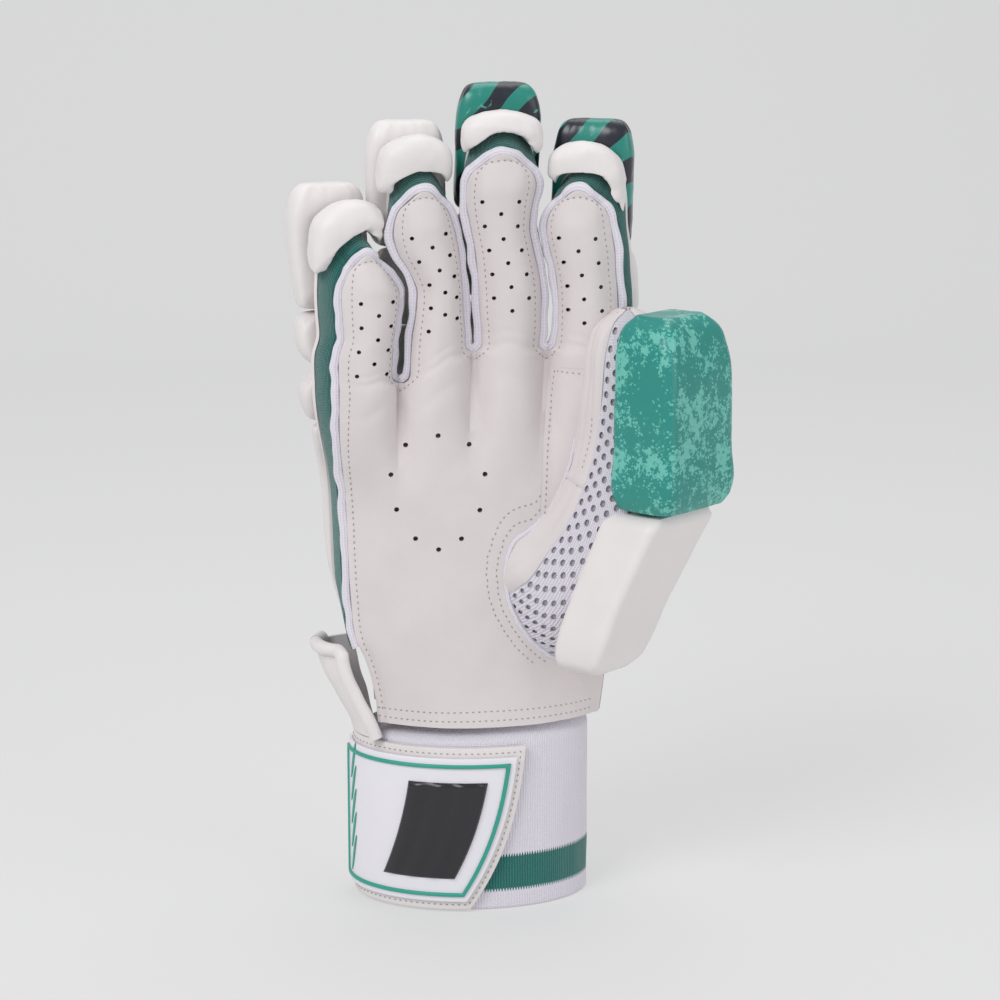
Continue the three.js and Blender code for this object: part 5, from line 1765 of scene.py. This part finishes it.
def border_ring(margin, outside):
    """A ring of points a margin inside the strap's face, from its lower fold corner."""
    low, high = STRAP_LIFT + margin, STRAP_TOP - margin
    start = FACE_START + front_degrees(margin)
    along, up = 40, 20
    path = [(k / along, low) for k in range(along + 1)]
    path += [(1, mix(low, high, k / up)) for k in range(1, up)]
    path += [(1 - k / along, high) for k in range(along + 1)]
    path += [(0, mix(high, low, k / up)) for k in range(1, up)]
    return [
        cuff_point(mix(start, strap_end(z, front_degrees(margin)), share), z, outside)
        for share, z in path
    ]


def hoop(name, edges):
    """A closed bar through rings of points, each ring one edge of it."""
    sections = list(zip(*edges))
    rings = [list(s) for s in sections] + [list(sections[0])]
    return facing_out(strip(name, rings, True))


class GLOVE_OT_strap(bpy.types.Operator):
    """Wrist strap with its moulded face, line, grip and bars"""

    bl_idname = "glove.strap"
    bl_label = "Strap"

    def execute(self, context):
        strap = band("strap_backing", STRAP_START, 0, STRAP_OUTSIDE, STRAP_THICKNESS, 150, 0.5)
        finish_piece(strap, surface("backing"), ["strap"], "strap_backing")
        face = band(
            "moulded_face", FACE_START, FACE_MARGIN, FACE_OUTSIDE, FACE_THICKNESS, 110, 0.35
        )
        finish_piece(face, surface("moulded"), ["strap_face"], "moulded_white")
        base = FACE_OUTSIDE + 0.1
        outer = FACE_MARGIN + BORDER_MARGIN
        inner = outer + BORDER_WIDTH
        rounding = ((0, 0), (0.15, 0.8), (0.4, 1))
        edges = [border_ring(outer + i, base + BORDER_HEIGHT * h) for i, h in rounding]
        edges += [border_ring(inner - i, base + BORDER_HEIGHT * h) for i, h in reversed(rounding)]
        line = smooth(hoop("raised_line", edges), 50)
        finish_piece(line, surface("green_rubber"), ["badge_border"], "green_rubber")
        grip = self.grip()
        finish_piece(grip, surface("black_rubber"), ["badge_grip"], "black_rubber")
        for k in range(BARS):
            finish_piece(self.bar(k), surface("green_rubber"), (), "green_rubber")
        three_sides = border_ring(1.9, STRAP_OUTSIDE)[:102]
        stitches("strap_stitches", [three_sides], strap)
        return {"FINISHED"}

    def grip(self):
        """A ribbed pad to pull the strap by."""
        low, top = STRAP_LIFT + GRIP_MARGIN, STRAP_TOP - GRIP_MARGIN

        def place(u, v):
            z = mix(low, top, v)
            end = strap_end(z, front_degrees(GRIP_MARGIN))
            start = end - front_degrees(GRIP_WIDTH)
            ridge = 0.5 + 0.5 * math.cos(math.pi * (u * GRIP_RIBS + 1))
            rounding = min(u, 1 - u) * GRIP_WIDTH
            ends = min(v, 1 - v) * (top - low)
            edge = smoothstep(min(rounding, ends), -0.3, 1.0)
            height = (0.8 + 0.6 * ridge) * edge
            return cuff_point(mix(start, end, u), z, FACE_OUTSIDE + 0.1 + height)

        obj = sheet("ribbed_grip", 112, 44, place, (26, 35))
        thickened(obj, 0.08)
        return smooth(obj, 60)

    def bar(self, k):
        """One slanted bar near the strap's fold."""
        low = STRAP_LIFT + FACE_MARGIN + BORDER_MARGIN + 3 + BAR_PITCH * k
        start = FACE_START + front_degrees(12.5)
        wide = front_degrees(BAR_WIDTH)

        def place(u, v):
            taper = 1 - 0.75 * abs(2 * u - 1) ** 2
            z = low + BAR_RISE * u + (v - 0.5) * BAR_THICKNESS * taper
            return cuff_point(start + wide * u, z, FACE_OUTSIDE + 0.35)

        obj = sheet("slanted_bar_" + str(k), 14, 3, place)
        thickened(obj, 0.3)
        return smooth(obj, 40)


class GLOVE_OT_flap(bpy.types.Operator):
    """Flap of the wrist opening with its rolled edge"""

    bl_idname = "glove.flap"
    bl_label = "Wrist flap"

    def execute(self, context):
        def place(u, v):
            x, y, z = flap_point(u, mix(FLAP_LOW, FLAP_HIGH, v))
            return x + 0.5 * noise.noise(Vector((u * 3, v * 4, 2.2))), y, z

        obj = sheet("flap_leather", 48, 40, place)
        thickened(obj, LEATHER)
        smooth(obj, 50)
        finish_piece(obj, surface("padding"), ["wrist_flap"], "pearl_leather")
        top = [np.array(flap_point(u, FLAP_HIGH)) for u in np.linspace(0.3, 0.97, 24)]
        down = [
            np.array(flap_point(1, z)) + np.array([0.5, -BINDING_RADIUS - SEAM, 0])
            for z in np.linspace(FLAP_HIGH - 1, FLAP_LOW, 32)
        ]
        roll = piping("flap_roll", top + down, BINDING_RADIUS, 20)
        rippled(roll, 0.25, 6, 88)
        smooth(roll, 60)
        finish_piece(roll, surface("padding"), ["flap_binding"], "pearl_leather")
        return {"FINISHED"}


class GLOVE_OT_stage(bpy.types.Operator):
    """Pale floor, soft lights and the camera"""

    bl_idname = "glove.stage"
    bl_label = "Stage"

    def execute(self, context):
        scene = context.scene

        def floor_place(u, v):
            x = mix(-FLOOR_HALF_WIDTH, FLOOR_HALF_WIDTH, u)
            depth = mix(-FLOOR_HALF_DEPTH, FLOOR_HALF_DEPTH, v)
            rise = max(depth - FLOOR_FLAT, 0)
            return x, min(depth, FLOOR_FLAT + rise * 0.45), rise * rise / 900

        floor = sheet("floor", 40, 60, floor_place)
        smooth(floor, 80)
        paper = (0.32, 0.32, 0.32)
        material, _, shader = new_material("floor_paper", paper, 0.9, emission_strength=0.42)
        shader.inputs["Emission Color"].default_value = (1, 1, 1, 1)
        floor.data.materials.append(material)
        world = bpy.data.worlds.new("studio")
        world.use_nodes = True
        background = next(n for n in world.node_tree.nodes if n.type == "BACKGROUND")
        background.inputs["Color"].default_value = (0.94, 0.95, 1.0, 1)
        background.inputs["Strength"].default_value = 0.47
        scene.world = world
        target = Vector(in_frame(CAMERA_TARGET))
        for name, light in LIGHTS.items():
            data = bpy.data.lights.new(name, "AREA")
            data.size = light["size"]
            data.energy = light["power"]
            lamp = bpy.data.objects.new(name, data)
            lamp.location = light["place"]
            towards = target - Vector(light["place"])
            lamp.rotation_euler = towards.to_track_quat("-Z", "Y").to_euler()
            scene.collection.objects.link(lamp)
        azimuth, elevation = math.radians(CAMERA_AZIMUTH), math.radians(CAMERA_ELEVATION)
        back = Vector(
            (
                math.sin(azimuth) * math.cos(elevation),
                -math.cos(azimuth) * math.cos(elevation),
                math.sin(elevation),
            )
        )
        data = bpy.data.cameras.new("camera")
        data.lens = LENS
        data.sensor_width = SENSOR
        camera = bpy.data.objects.new("camera", data)
        camera.location = target + back
        camera.rotation_euler = (-back).to_track_quat("-Z", "Y").to_euler()
        scene.collection.objects.link(camera)
        scene.camera = camera
        scene.view_settings.view_transform = "Standard"
        return {"FINISHED"}


class GLOVE_PT_pieces(bpy.types.Panel):
    """Lists the glove's pieces, sizes and colours"""

    bl_label = "Batting glove"
    bl_idname = "GLOVE_PT_pieces"
    bl_space_type = "VIEW_3D"
    bl_region_type = "UI"
    bl_category = "Glove"

    def draw(self, context):
        for made in OPERATORS:
            self.layout.operator(made.bl_idname)
        for group in (context.scene.glove_sizes, context.scene.glove_colours):
            for name in group.__annotations__:
                self.layout.prop(group, name)


OPERATORS = (
    GLOVE_OT_palm,
    GLOVE_OT_edging,
    GLOVE_OT_gussets,
    GLOVE_OT_back,
    GLOVE_OT_rolls,
    GLOVE_OT_caps,
    GLOVE_OT_thumb,
    GLOVE_OT_guards,
    GLOVE_OT_cuff,
    GLOVE_OT_strap,
    GLOVE_OT_flap,
    GLOVE_OT_stage,
)
CLASSES = (GLOVE_PG_colours, GLOVE_PG_sizes, *OPERATORS, GLOVE_PT_pieces)


def register():
    for made in CLASSES:
        bpy.utils.register_class(made)
    bpy.types.Scene.glove_colours = PointerProperty(type=GLOVE_PG_colours)
    bpy.types.Scene.glove_sizes = PointerProperty(type=GLOVE_PG_sizes)


def unregister():
    del bpy.types.Scene.glove_sizes
    del bpy.types.Scene.glove_colours
    for made in reversed(CLASSES):
        bpy.utils.unregister_class(made)


def main():
    register()
    bpy.ops.glove.palm()
    bpy.ops.glove.edging()
    bpy.ops.glove.gussets()
    bpy.ops.glove.back()
    bpy.ops.glove.rolls()
    bpy.ops.glove.caps()
    bpy.ops.glove.thumb()
    bpy.ops.glove.guards()
    bpy.ops.glove.cuff()
    bpy.ops.glove.strap()
    bpy.ops.glove.flap()
    bpy.ops.glove.stage()


if __name__ == "__main__":
    main()
